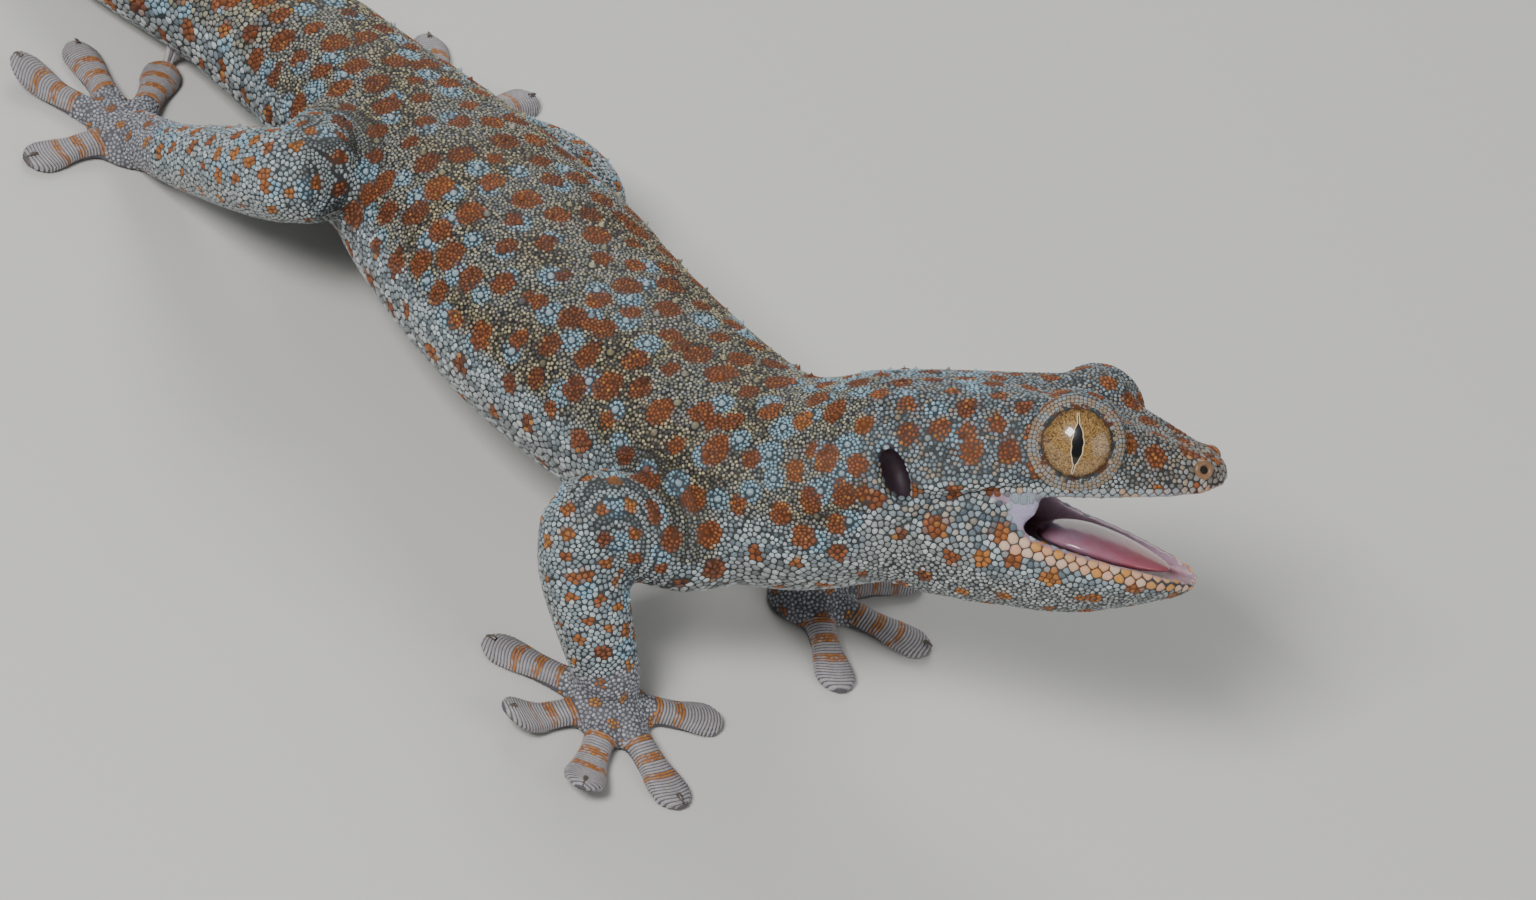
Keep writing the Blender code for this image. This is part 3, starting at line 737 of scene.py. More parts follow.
# Tubercles: conical scales in loose rows over the back, the nape, the back of
# the head and the tail's root, and wider apart on the limbs
tubercleWork = {"backMm": 5.2, "tailMm": 5.8, "limbMm": 5.6, "napeMm": 3.9}
tubercleGap = np.full(len(candidates), 99.0)
tubercleGap[nodeIs(candidateNode, "torso") & (candidateUp > 0.55)] = tubercleWork["backMm"]
tubercleGap[nodeIs(candidateNode, "tail") & (candidateUp > 0.55) & (candidates[:, 0] > -110)] = tubercleWork["tailMm"]
tubercleGap[nodeIs(candidateNode, "neck") & (candidateUp > 0.5)] = tubercleWork["napeMm"]
tubercleGap[nodeIs(candidateNode, "thigh", "shin", "upper", "forearm") & (candidates[:, 2] > 9)
            & (candidateUp > 0.6)] = tubercleWork["limbMm"]
headPlace = within(headTurn, candidates)
tubercleGap[nodeIs(candidateNode, "head") & (headPlace[:, 0] < 9) & (headPlace[:, 2] > 6)] = tubercleWork["napeMm"]
tuberclePicks = scatter(tubercleGap, tubercleGap < 90, 0.86)
for order in tuberclePicks:
    size = 1.05 if nodeIs(candidateNode[order], "torso", "tail_1", "tail_2") else 0.85
    fix(candidates[order], size, "tubercle")
print("fixed scales:", len(fixedPlaces))

fixedPlaces = np.array(fixedPlaces)
fixedSpacing = np.array(fixedSpacing)
fixedKind = np.array(fixedKind)
taken = [(place, 0.5 * spacing + 0.28) for place, spacing in zip(fixedPlaces, fixedSpacing)]
onFoot = nodeIs(candidateNode, "forefoot", "hindfoot")
ridged = onToe(candidates, candidateNode)
for side, sign in sides:
    eye = within(eyeFrame(sign), candidates)
    ridged |= (np.hypot(eye[:, 0], eye[:, 1]) < 6.4) & (eye[:, 2] > 3.5) & (eye[:, 2] < 8)
allowed = (candidateBare < 0.5) & ~(onFoot & (candidates[:, 2] < 0.5)) & ~ridged
picks = scatter(candidateSpacing, allowed, 0.8, taken)
points = np.concatenate([fixedPlaces, candidates[picks]])
spacing = np.concatenate([fixedSpacing, candidateSpacing[picks]])
kind = np.concatenate([fixedKind, np.zeros(len(picks), int)])
print("scales:", len(points))


def nearOnes(points, count):
    # Each point's nearest others.
    tree = treeOf(points)
    return np.array([[found[1] for found in tree.find_n(Vector(place), count + 1)][1:] for place in points])


def rowField(points, faces, work):
    # The way across each point's rows, how far it lies that way, how strongly the rows hold, and their squeeze.
    node = skinNode[corners[faces, 0]]
    across = at(flow, faces, points)
    along = np.einsum("ij,ij->i", points, across)
    up = at(skinUp, faces, points)
    hold, squeeze = np.zeros(len(points)), np.ones(len(points))
    side = 1 - smoothStep(up, 0.3, 0.6)
    trunk = nodeIs(node, "torso", "neck")
    hold[trunk], squeeze[trunk] = side[trunk], 1 - 0.16 * side[trunk]
    hold[nodeIs(node, "tail", "forearm", "shin")] = 0.9
    squeeze[nodeIs(node, "forearm", "shin")] = 1.35
    normal = at(normals, faces, points)
    for centre in rowCentres:
        gap = points - centre
        share, far = ringAt(points, centre, node, work["ringReachMm"])
        ring = share > 0.02
        outward = inPlane(gap, normal)
        across[ring], along[ring], hold[ring] = outward[ring], far[ring], 0.9 * share[ring]
        squeeze[ring] = 1 + 0.45 * share[ring]
    return across, along, hold, squeeze


def settleScales(points, spacing, kind, work):
    # Pushes crowded scales apart and draws them into rows, keeping them on the skin.
    free = kind == 0
    faces = onSkin(points)[1]
    for turn in range(work["rounds"]):
        near = nearOnes(points, 7)
        across, along, hold, squeeze = rowField(points, faces, work)
        gap = points[:, None] - points[near]
        lean = np.einsum("nij,nj->ni", gap, across) * (squeeze - 1)[:, None]
        stretched = (gap + across[:, None] * lean[:, :, None]) / np.sqrt(squeeze)[:, None, None]
        far = np.linalg.norm(stretched, axis=2)
        want = (spacing[:, None] + spacing[near]) / 2
        push = np.clip(1 - far / want, 0, 1) * want * work["push"]
        move = (gap / np.maximum(far, 1e-6)[:, :, None] * push[:, :, None]).sum(1)
        row = spacing * np.where(squeeze > 1.05, work["ringShare"], work["rowShare"])
        offset = (np.round(along / row) - along / row) * row
        move += across * (offset * hold * work["pull"])[:, None]
        points[free] += move[free]
        points, faces = onSkin(points)
        if turn % 3 == 2:
            spacing = np.where(free, at(skinSpacing, faces, points), spacing)
    return points, faces, spacing


points, faces, spacing = settleScales(points, spacing, kind, rowWork)
print("scales settled")

# Colours of the living animal, as sRGB hex, with dark colours used as painted shade in the seams between scales, the
# ears, the nostrils and the eye sockets
paint = {name: linear(value) for name, value in {
    "paleBlue": "#c3ccce", "greyBlue": "#86939a", "slate": "#56626b", "night": "#292c30", "bark": "#32261c",
    "straw": "#b3a882", "olive": "#746b4c", "rust": "#6a3414", "ember": "#95501c", "amber": "#c48634",
    "starBlue": "#8fb3c6", "starWhite": "#a6bcc6", "lilac": "#8f8a9c", "peach": "#d39d7c", "cream": "#d8cfbf",
    "seam": "#1a1611", "maroon": "#4a1a20", "gum": "#a58c9b", "floorPink": "#8f5a66",
    "cornerSkin": "#a79fb8", "socket": "#120d0b", "earShade": "#33262e", "toeGrey": "#a09ca4", "tan": "#8d7a63",
}.items()}


def blendTo(colours, other, share):
    share = np.asarray(share, float)
    return colours + (other - colours) * (share[:, None] if share.ndim else share)


def plainColour(name, count):
    return np.tile(paint[name], (count, 1))


def byDraw(pick, limits, names):
    # One of the named colours for each draw, parted at those limits.
    return np.array([paint[name] for name in names])[np.searchsorted(limits, pick, side="right")]


def cloud(points, size, seed):
    # Smooth noise from -1 to 1, with that size of patch in millimetres
    shift = Vector((seed * 7.3, seed * 3.1, seed * 5.7))
    return np.array([noise.noise(Vector(p) / size + shift) for p in points]) * 1.6


# Orange spots: round on the head, tall across the body, small on the limbs, with their own size and warmth
spotWork = {
    "torso": {"gapMm": 5.5, "radiusMm": (1.3, 2.3), "warmth": 0.15, "tall": 1.18},
    "neck": {"gapMm": 4.9, "radiusMm": (1.3, 1.9), "warmth": 0.3, "tall": 1.35},
    "head": {"gapMm": 4.7, "radiusMm": (1.35, 1.9), "warmth": 0.28, "tall": 0.95},
    "lower_jaw": {"gapMm": 4.5, "radiusMm": (1.4, 1.8), "warmth": 0.5, "tall": 1.0},
    "upper_arm": {"gapMm": 3.9, "radiusMm": (0.8, 1.3), "warmth": 0.5, "tall": 1.1},
    "forearm": {"gapMm": 3.7, "radiusMm": (0.75, 1.25), "warmth": 0.6, "tall": 1.1},
    "thigh": {"gapMm": 4.2, "radiusMm": (0.8, 1.3), "warmth": 0.45, "tall": 1.1},
    "shin": {"gapMm": 4.0, "radiusMm": (0.75, 1.25), "warmth": 0.5, "tall": 1.1},
    "tail": {"gapMm": 5.4, "radiusMm": (1.2, 1.9), "warmth": 0.25, "tall": 1.3},
    "forefoot": {"gapMm": 4.0, "radiusMm": (0.7, 1.0), "warmth": 0.75, "tall": 1.2},
    "hindfoot": {"gapMm": 4.0, "radiusMm": (0.7, 1.0), "warmth": 0.75, "tall": 1.2},
}


def spotCentres():
    gap = np.full(len(candidates), 99.0)
    for start, work in spotWork.items():
        gap[nodeIs(candidateNode, start)] = work["gapMm"]
    gap = gap * np.where(candidateUp < 0.25, 1.25, 1.0)
    snout = nodeIs(candidateNode, "head") & (within(headTurn, candidates)[:, 0] > 39.5)
    picks = scatter(gap, (candidateBare < 0.5) & ~snout, 0.84)
    rows = []
    for order in picks:
        name = fleshNodes[candidateNode[order]]
        work = next(w for start, w in spotWork.items() if name.startswith(start))
        low, high = work["radiusMm"]
        radius = draw.uniform(low, high) * (0.72 if candidateUp[order] < 0.25 else 1.0)
        warmth = np.clip(work["warmth"] + draw.normal(0, 0.13), 0, 1)
        rows.append((*candidates[order], radius, warmth, work["tall"]))
        if draw.random() < 0.16:  # two that have run together
            beside = candidates[order] + unit(draw.normal(0, 1, 3)) * radius * 1.35
            rows.append((*beside, radius * 0.85, warmth, work["tall"]))
    return np.array(rows)


spots = spotCentres()
spotTree = treeOf(spots[:, :3])
tubercles = fixedPlaces[fixedKind == kinds["tubercle"]]
tubercleTree = treeOf(tubercles)


def inSpot(points, direction):
    # 1 inside an orange spot, 0 outside, with the warmth of that spot
    inside, warmth = np.zeros(len(points)), np.zeros(len(points))
    rough = 1 + 0.13 * cloud(points, 1.1, 3)
    for k, point in enumerate(points):
        for _, index, _ in spotTree.find_n(Vector(point), 3):
            gap = point - spots[index, :3]
            along = gap @ direction[k]
            far = math.sqrt(max(gap @ gap - along * along, 0) / spots[index, 5] + (along * 1.12) ** 2)
            share = 1 - (far / (spots[index, 3] * rough[k]))
            if share > 0 and share > inside[k]:
                inside[k], warmth[k] = share, spots[index, 4]
    return inside, warmth


starWork = {"radiusMm": 2.1, "shareOfTubercles": 0.62}
starDraw = draw.random(len(tubercles))


def inStar(points):
    # Nearness to a tubercle that sits in a pale blue rosette
    near = np.zeros(len(points))
    for k, point in enumerate(points):
        _, index, far = tubercleTree.find(Vector(point))
        if starDraw[index] < starWork["shareOfTubercles"]:
            radius = starWork["radiusMm"] * (0.75 + 0.6 * starDraw[index])
            near[k] = max(0.0, 1 - far / radius)
    return near


def markings(points, direction, node, up, single):
    # The coat's colour at each point; single is a draw for each scale, or a smooth cloud on the skin between
    tone = single[:, 0]
    pick = single[:, 1]
    colour = plainColour("greyBlue", len(points))
    colour = blendTo(colour, paint["paleBlue"], smoothStep(pick, 0.3, 0.8) * 0.85)
    colour = blendTo(colour, paint["slate"], smoothStep(-pick, -0.2, -0.05) * 0.7)
    colour = blendTo(colour, paint["cream"], (1 - smoothStep(up, 0.0, 0.3)) * 0.2)
    # Painted shade: the coat is darker where the skin faces down
    colour = colour * (0.82 + 0.18 * smoothStep(up, 0.15, 0.45))[:, None]
    torso = nodeIs(node, "torso", "neck")
    patch = smoothStep(cloud(points, 9.0, 1), -0.25, 0.35)
    onTail = nodeIs(node, "tail")
    ground = torso + 0.35 * nodeIs(node, "head", "thigh", "upper_arm")
    ground = np.where(onTail, 1 - 0.6 * smoothStep(-points[:, 0], 60, 120), ground)
    ground = ground * smoothStep(up, 0.56, 0.82) * (0.72 + 0.28 * patch)
    mixed = byDraw(pick, (0.26, 0.5, 0.8), ("straw", "olive", "bark", "tan"))
    colour = blendTo(colour, mixed, ground * 0.9)
    onHead = nodeIs(node, "head")
    granite = byDraw(pick, (0.24, 0.29, 0.8), ("slate", "night", "greyBlue", "tan"))
    colour = blendTo(colour, granite, onHead * smoothStep(up, 0.2, 0.5) * 0.8)
    feetShare = nodeIs(node, "forefoot", "hindfoot")
    colour = blendTo(colour, paint["toeGrey"], feetShare * 0.6)
    ahead = within(headTurn, points)[:, 0]
    tip = (0.3 * smoothStep(ahead, 25, 31) + 0.25 * smoothStep(ahead, 33, 40)) * nodeIs(node, "head")
    colour = blendTo(colour, paint["tan"], tip)
    star = inStar(points)
    colour = blendTo(colour, paint["starBlue"], smoothStep(star, 0.05, 0.3) * 0.85)
    inside, warmth = inSpot(points, direction)
    orange = blendTo(plainColour("rust", len(points)), paint["ember"], np.clip(warmth * 1.5 + 0.3 * tone, 0, 1))
    orange = blendTo(orange, paint["amber"], np.clip(warmth - 0.35, 0, 1) + smoothStep(pick, 0.86, 1.0) * 0.6)
    colour = blendTo(colour, orange, smoothStep(inside, 0.0, 0.14) * 0.96)
    return colour * (0.68 + 0.56 * tone)[:, None], star, inside


pointNode = skinNode[corners[faces, 0]]
pointNormal = unit(at(normals, faces, points))
pointFlow = at(flow, faces, points)
pointFlow = inPlane(pointFlow, pointNormal)
pointUp = at(skinUp, faces, points)
pointAcross, _, _, pointSqueeze = rowField(points, faces, rowWork)
pointFlow = np.where((pointSqueeze > 1.02)[:, None], pointAcross, pointFlow)
pointFlow = inPlane(pointFlow, pointNormal)
singles = draw.random((len(points), 2))
singles += (0.5 - singles) * (0.45 * (pointSqueeze > 1.2))[:, None]
scaleColour, star, inside = markings(points, pointFlow, pointNode, pointUp, singles)
furrow = foldShare(points, pointNode, rowWork)
# Painted shade in the furrows between the rings of scales round the shoulders and the knees
scaleColour = scaleColour * (1 - 0.55 * furrow)[:, None]

isKind = {name: kind == number for name, number in kinds.items()}
headX = within(headTurn, points)[:, 0]
tipShare = smoothStep(headX, 33, 39)
here = isKind["labial"] & nodeIs(pointNode, "head")
upperColour = blendTo(plainColour("lilac", len(points)), paint["greyBlue"], 1 - tipShare)
upperColour = blendTo(upperColour, paint["tan"], tipShare * 0.55)
upperColour = blendTo(upperColour, paint["cream"], singles[:, 0] * 0.3)
upperColour = blendTo(upperColour, paint["amber"], smoothStep(cloud(points, 1.7, 9), 0.4, 0.7) * 0.5)
scaleColour[here] = upperColour[here]
here = (isKind["labial"] & ~nodeIs(pointNode, "head")) | isKind["chin"]
lowerColour = blendTo(plainColour("peach", len(points)), paint["cream"], singles[:, 0] * 0.6)
lowerColour = blendTo(lowerColour, paint["amber"], smoothStep(cloud(points, 2.1, 8), 0.0, 0.4) * 0.85)
scaleColour[here] = lowerColour[here]
here = isKind["lid"]
lidColour = blendTo(plainColour("tan", len(points)), paint["greyBlue"], smoothStep(singles[:, 1], 0.3, 0.9) * 0.7)
scaleColour[here] = lidColour[here]
here = isKind["tubercle"]
crest = np.where((inside > 0.03)[:, None], scaleColour, np.where((star > 0.2)[:, None], paint["starWhite"],
                 blendTo(scaleColour, paint["straw"], 0.25)))
scaleColour[here] = crest[here]
print("coat coloured:", len(spots), "spots,", len(tubercles), "tubercles")


# Scale shapes: rings from the rim to the crown, as share of the outline and share of the height
granuleRings = ((1.0, -0.3), (0.8, 0.55))
plateRings = ((1.0, -0.35), (0.93, 0.4), (0.62, 0.9))
tubercleRings = ((1.0, -0.3), (0.78, 0.12), (0.44, 0.4), (0.17, 0.78))
shapeWork = {
    "granule": {"sides": 6, "rings": granuleRings, "seam": 0.93, "rise": 0.42, "tilt": 0.25, "widest": 0.64},
    "plate": {"sides": 8, "rings": plateRings, "seam": 0.9, "rise": 0.25, "tilt": 0.45, "widest": 0.8},
    "tubercle": {"sides": 10, "rings": tubercleRings, "seam": 0.94, "rise": 1.15, "tilt": 0.9, "widest": 0.66},
    "shield": {"sides": 14, "rings": plateRings, "seam": 0.95, "rise": 0.15, "tilt": 0.0, "widest": 1.0},
}
nearIds = nearOnes(points, 14)
patchRadius = 0.0014  # of a scale on the unwrap


def outlines(ids, sides, seam, widest):
    # Each scale fills the room between its neighbours, short of the seam
    normal, forward = pointNormal[ids], pointFlow[ids]
    across = np.cross(normal, forward)
    gap = points[nearIds[ids]] - points[ids][:, None]
    x = np.einsum("nij,nj->ni", gap, forward)
    y = np.einsum("nij,nj->ni", gap, across)
    far = np.hypot(x, y)
    own = spacing[ids][:, None] / (spacing[ids][:, None] + spacing[nearIds[ids]])
    angles = 2 * math.pi * (np.arange(sides) + 0.5) / sides
    lean = (x[:, :, None] * np.cos(angles) + y[:, :, None] * np.sin(angles)) / np.maximum(far, 1e-6)[:, :, None]
    reach = np.where(lean > 0.15, far[:, :, None] * own[:, :, None] / np.maximum(lean, 0.15), 99)
    longer = 1 + 0.8 * np.maximum(pointSqueeze[ids] - 1, 0)[:, None] * np.abs(np.sin(angles))
    radius = np.minimum(reach.min(1), spacing[ids][:, None] * widest * longer)
    return radius * seam, angles, forward, across, normal


def meshPiece(name, verts, faces, colours=None, uvs=None, cornerUvs=None):
    # A mesh object from arrays of millimetres; faces is a list of arrays of equal-sided faces.
    mesh = bpy.data.meshes.new(name)
    mesh.vertices.add(len(verts))
    mesh.vertices.foreach_set("co", (verts * mm).astype(np.float32).ravel())
    loops = np.concatenate([group.ravel() for group in faces])
    starts, first = [], 0
    for group in faces:
        starts.append(first + np.arange(len(group)) * group.shape[1])
        first += group.size
    mesh.loops.add(len(loops))
    mesh.loops.foreach_set("vertex_index", loops.astype(np.int32))
    starts = np.concatenate(starts)
    mesh.polygons.add(len(starts))
    mesh.polygons.foreach_set("loop_start", starts.astype(np.int32))
    mesh.update(calc_edges=True)
    if colours is not None:
        paintMesh(mesh, colours)
    if uvs is not None:
        cornerUvs = uvs[loops]
    if cornerUvs is not None:
        layer = mesh.uv_layers.new(name="OFBake")
        layer.data.foreach_set("uv", cornerUvs.astype(np.float32).ravel())
    mesh.shade_smooth()
    piece = bpy.data.objects.new(name, mesh)
    bpy.context.scene.collection.objects.link(piece)
    return piece


def paintMesh(mesh, colours):
    layer = mesh.color_attributes.new("coatColour", "FLOAT_COLOR", "POINT")
    full = np.concatenate([np.clip(colours, 0, 1), np.ones((len(colours), 1))], axis=1)
    layer.data.foreach_set("color", full.astype(np.float32).ravel())


def scalePiece(name, ids, work):
    # A dome or plate for each scale, open below, with its rim sunk in the skin.
    sides, rings = work["sides"], work["rings"]
    radius, angles, forward, across, normal = outlines(ids, sides, work["seam"], work["widest"])
    size = radius.mean(1)
    rise = work["rise"] * size * (0.9 + 0.25 * singles[ids, 0])
    circle = (forward[:, None] * np.cos(angles)[None, :, None] + across[:, None] * np.sin(angles)[None, :, None])
    root = points[ids][:, None]
    rim = onSkin((root + circle * radius[:, :, None]).reshape(-1, 3))[0].reshape(circle.shape)
    verts, colours, patches = [], [], []
    for share, height in rings:
        lift = rise * height
        leaning = work["tilt"] * 0.35 * rise * share
        ring = root + (rim - root) * share
        raised = lift[:, None] - 0.1 * furrow[ids][:, None] + leaning[:, None] * np.cos(angles)
        ring += normal[:, None] * raised[:, :, None]
        verts.append(ring)
        # Painted shade and highlight: each ring's colour darkens towards the rim sunk in the skin and lightens
        # towards the crown
        shade = np.interp(height, (-0.35, 0.2, 1), (0.22, 0.76, 1.03))
        colours.append(np.repeat((scaleColour[ids] * shade)[:, None], sides, 1))
        patches.append(rootUv[ids][:, None] + patchRadius * share * np.stack([np.cos(angles), np.sin(angles)], -1))
    crown = points[ids] + normal * rise[:, None] + forward * (size * 0.28 * work["tilt"])[:, None]
    verts.append(crown[:, None])
    # Painted highlight: the crown is a little lighter than the rest of the scale
    colours.append((scaleColour[ids] * 1.05)[:, None])
    patches.append(rootUv[ids][:, None])
    block = sides * len(rings) + 1
    verts = np.concatenate(verts, 1).reshape(-1, 3)
    colours = np.concatenate(colours, 1).reshape(-1, 3)
    patches = np.concatenate(patches, 1).reshape(-1, 2)
    k = np.arange(sides)
    after = (k + 1) % sides
    walls = np.concatenate([np.stack([r * sides + k, r * sides + after, (r + 1) * sides + after,
                                      (r + 1) * sides + k], 1) for r in range(len(rings) - 1)])
    last = (len(rings) - 1) * sides
    tops = np.stack([last + k, last + after, np.full(sides, block - 1)], 1)
    base = np.arange(len(ids))[:, None, None] * block
    walls = (walls[None] + base).reshape(-1, 4)
    tops = (tops[None] + base).reshape(-1, 3)
    piece = meshPiece(name, verts, [walls, tops], colours, patches)
    piece.data.materials.append(keratin)
    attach(piece, "root")
    return piece


def addNode(tree, kind, settings=None, links=None):
    node = tree.nodes.new(kind)
    for key, value in (settings or {}).items():
        if isinstance(key, int) or key in node.inputs:
            node.inputs[key].default_value = value
        else:
            setattr(node, key, value)
    for key, socket in (links or {}).items():
        tree.links.new(socket, node.inputs[key])
    return node


def newMaterial(name, settings):
    material = bpy.data.materials.new(name)
    material.use_nodes = True
    tree = material.node_tree
    shader = tree.nodes["Principled BSDF"]
    for key, value in settings.items():
        shader.inputs[key].default_value = value
    return material, tree, shader


def rgba(hexColour):
    return (*linear(hexColour), 1)


def grained(tree, grainMm, **settings):
    # Noise of that grain in the piece's own space.
    place = addNode(tree, "ShaderNodeTexCoord")
    noiseNode = addNode(tree, "ShaderNodeTexNoise", {"Scale": 1 / (grainMm * mm), **settings},
                        {"Vector": place.outputs["Object"]})
    return noiseNode.outputs["Fac"]


def coatMaterial(name, settings, grain, tintRange, bumpWork):
    # The coat's markings, with the painted shade in its colour attribute, tinted and pitted by noise; gloss is added
    # by the caller.
    material, tree, shader = newMaterial(name, settings)
    grainMm, detail = grain
    pits = grained(tree, grainMm, Detail=detail)
    coat = addNode(tree, "ShaderNodeAttribute", {"attribute_name": "coatColour"})
    tint = addNode(tree, "ShaderNodeMapRange", {"To Min": tintRange[0], "To Max": tintRange[1]}, {"Value": pits})
    colour = addNode(tree, "ShaderNodeMix", {"data_type": "RGBA", "blend_type": "MULTIPLY", "Factor": 1.0},
                     {6: coat.outputs["Color"], 7: tint.outputs["Result"]})
    bump = addNode(tree, "ShaderNodeBump", bumpWork, {"Height": pits})
    tree.links.new(colour.outputs[2], shader.inputs["Base Color"])
    tree.links.new(bump.outputs["Normal"], shader.inputs["Normal"])
    return material, tree, shader, pits


def addGloss(tree, shader, low, high, source):
    gloss = addNode(tree, "ShaderNodeMapRange", {"To Min": low, "To Max": high}, {"Value": source})
    tree.links.new(gloss.outputs["Result"], shader.inputs["Roughness"])


# Keratin scales, dry and finely pitted: a soft sheen on each dome, colour from the coat's markings with painted shade
# and highlights baked into them
def keratinMaterial():
    material, tree, shader, pits = coatMaterial(
        "dry_keratin_scale", {"IOR": 1.44, "Roughness": 0.45}, (0.22, 3.0), (0.72, 1.28),
        {"Strength": 0.25, "Distance": 0.00003})
    addGloss(tree, shader, 0.36, 0.6, pits)
    return material


# Soft skin between the scales and the wet lining of the mouth, one sheet that turns glossy past the lips
def skinMaterial():
    material, tree, shader, creases = coatMaterial(
        "skin_and_mouth_lining", {"IOR": 1.4, "Roughness": 0.6}, (0.5, 4.0), (0.75, 1.25),
        {"Strength": 0.2, "Distance": 0.0001})
    wet = addNode(tree, "ShaderNodeAttribute", {"attribute_name": "wetShare"})
    addGloss(tree, shader, 0.62, 0.2, wet.outputs["Fac"])
    return material


def twoToneMaterial(name, settings, first, second, grainMm):
    material, tree, shader = newMaterial(name, settings)
    colour = addNode(tree, "ShaderNodeMix", {"data_type": "RGBA", 6: rgba(first), 7: rgba(second)},
                     {0: grained(tree, grainMm)})
    tree.links.new(colour.outputs[2], shader.inputs["Base Color"])
    return material


# The skin that shows: thinned to its faces, unwrapped on its own shape, painted with the same markings and darkened
# as painted shade between the scales
finishWork = {"skinTriangles": 185000, "seamShadeShare": 0.18, "spotSeamShadeShare": 0.4}


def finishSkin(work):
    thin = skin.modifiers.new("thin", "DECIMATE")
    thin.ratio = work["skinTriangles"] / (2 * len(skin.data.polygons))
    skin.modifiers.new("triangles", "TRIANGULATE")
    applyAll(skin)
    bpy.ops.object.mode_set(mode="EDIT")
    bpy.ops.mesh.select_all(action="SELECT")
    bpy.ops.uv.smart_project(angle_limit=math.radians(66), island_margin=0.0006)
    bpy.ops.object.mode_set(mode="OBJECT")
    skin.data.uv_layers.active.name = "OFBake"
    skin.data.shade_smooth()
    shown, shownNormals = vertexArrays(skin.data)
    tree = treeOf(places)
    source = np.array([tree.find(Vector(p))[1] for p in shown])
    count = len(shown)
    smoothPick = np.stack([0.5 + 0.25 * cloud(shown, 0.9, 5), 0.5 + 0.3 * cloud(shown, 0.8, 6)], 1)
    direction = flow[source]
    colour, _, inside = markings(shown, direction, skinNode[source], skinUp[source], smoothPick)
    # Painted shade between the scales: the skin in the seams is darkened towards the seam colour, less inside the
    # spots, to a dark grey on the feet and a lighter grey-blue at the tail's tip where the scales are shallow
    spotShare = smoothStep(inside, 0.0, 0.14)
    seamShade = blendTo(colour * work["seamShadeShare"], paint["seam"], 0.35)
    colour = seamShade + (colour * work["spotSeamShadeShare"] - seamShade) * spotShare[:, None]
    feetShare = nodeIs(skinNode[source], "forefoot", "hindfoot")
    colour = blendTo(colour, paint["toeGrey"] * 0.34, feetShare * 0.8)
    colour = blendTo(colour, paint["greyBlue"] * 0.7, smoothStep(-shown[:, 0], 122, 138) * 0.8)
    head, jaw = within(headTurn, shown), within(jawTurn, shown)
    mouth, socket = skinMouth[source], skinSocket[source]
    onJaw = (jaw[:, 2] < 2.4) & (within3(jawTurn, shownNormals)[:, 2] > -0.2) & (jaw[:, 0] > 11)
    outward = np.where(onJaw, smoothStep(np.abs(jaw[:, 1]) / lipY(lowerLip, jaw[:, 0]), 0.62, 0.9),
                       smoothStep(np.abs(head[:, 1]) / lipY(upperLip, head[:, 0]), 0.6, 0.95))
    outward = np.maximum(outward, smoothStep(jaw[:, 0], 35.5, 39) * onJaw)
    # The lining darkens to maroon towards the back of the mouth and over the palate: partly its own colour, partly
    # painted shade in the mouth's depth
    lining = blendTo(plainColour("maroon", count), paint["floorPink"],
                     np.where(onJaw, smoothStep(jaw[:, 0], 17, 27), smoothStep(head[:, 0], 24, 41) * 0.6))
    lining = blendTo(lining, paint["gum"], outward)
    for side, sign in sides:
        corner = (head - np.array(cornerWork["place"]) * (1, sign, 1)) / (np.array(cornerWork["radiiMm"]) + 0.35)
        pad = (1 - smoothStep(np.linalg.norm(corner, axis=1), 0.95, 1.15)) * smoothStep(head[:, 0], 14.2, 14.9)
        lining = blendTo(lining, paint["cornerSkin"], pad)
    colour = blendTo(colour, lining, np.clip(mouth * 1.2, 0, 1))
    # Painted shade in the holes: the skin in the ear openings is painted a dark dusky grey, and in the nostrils and
    # eye sockets near black
    colour = blendTo(colour, np.where((head[:, 0] < 6)[:, None], paint["earShade"], paint["socket"]), socket)
    paintMesh(skin.data, colour)
    wetLayer = skin.data.attributes.new("wetShare", "FLOAT", "POINT")
    wetLayer.data.foreach_set("value", mouth.astype(np.float32))


finishSkin(finishWork)
skin.data.materials.append(skinMaterial())
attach(skin, "root")
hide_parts(*fleshNodes)
print("skin finished:", len(skin.data.polygons), "faces")

# Where each scale's patch lies on the skin's unwrap
shownCorners = loopVertices(skin.data, 3)
shownUv = np.zeros(len(skin.data.loops) * 2)
skin.data.uv_layers["OFBake"].data.foreach_get("uv", shownUv)
shownUv = shownUv.reshape(-1, 3, 2)
shownPlaces = vertexArrays(skin.data)[0]
shownTree = BVHTree.FromPolygons([Vector(p) for p in shownPlaces], shownCorners.tolist())


def unwrapAt(positions):
    hit, face = closest(shownTree, positions)
    weight = cornerWeights(shownPlaces[shownCorners[face]], hit)
    return (shownUv[face] * weight[:, :, None]).sum(1)


rootUv = unwrapAt(points)
keratin = keratinMaterial()

groups = {
    "head": ("head",), "jaw": ("lower_jaw",), "neck": ("neck",), "torso_front": ("torso_front",),
    "torso_rear": ("torso_rear",), "tail": ("tail",), "arms": ("upper_arm", "forearm"),
    "legs": ("thigh", "shin"), "feet": ("forefoot", "hindfoot"),
}
plateFromMm = 0.7
plain = kind == 0
total = 0


def countTriangles(piece):
    return sum(len(polygon.vertices) - 2 for polygon in piece.data.polygons)


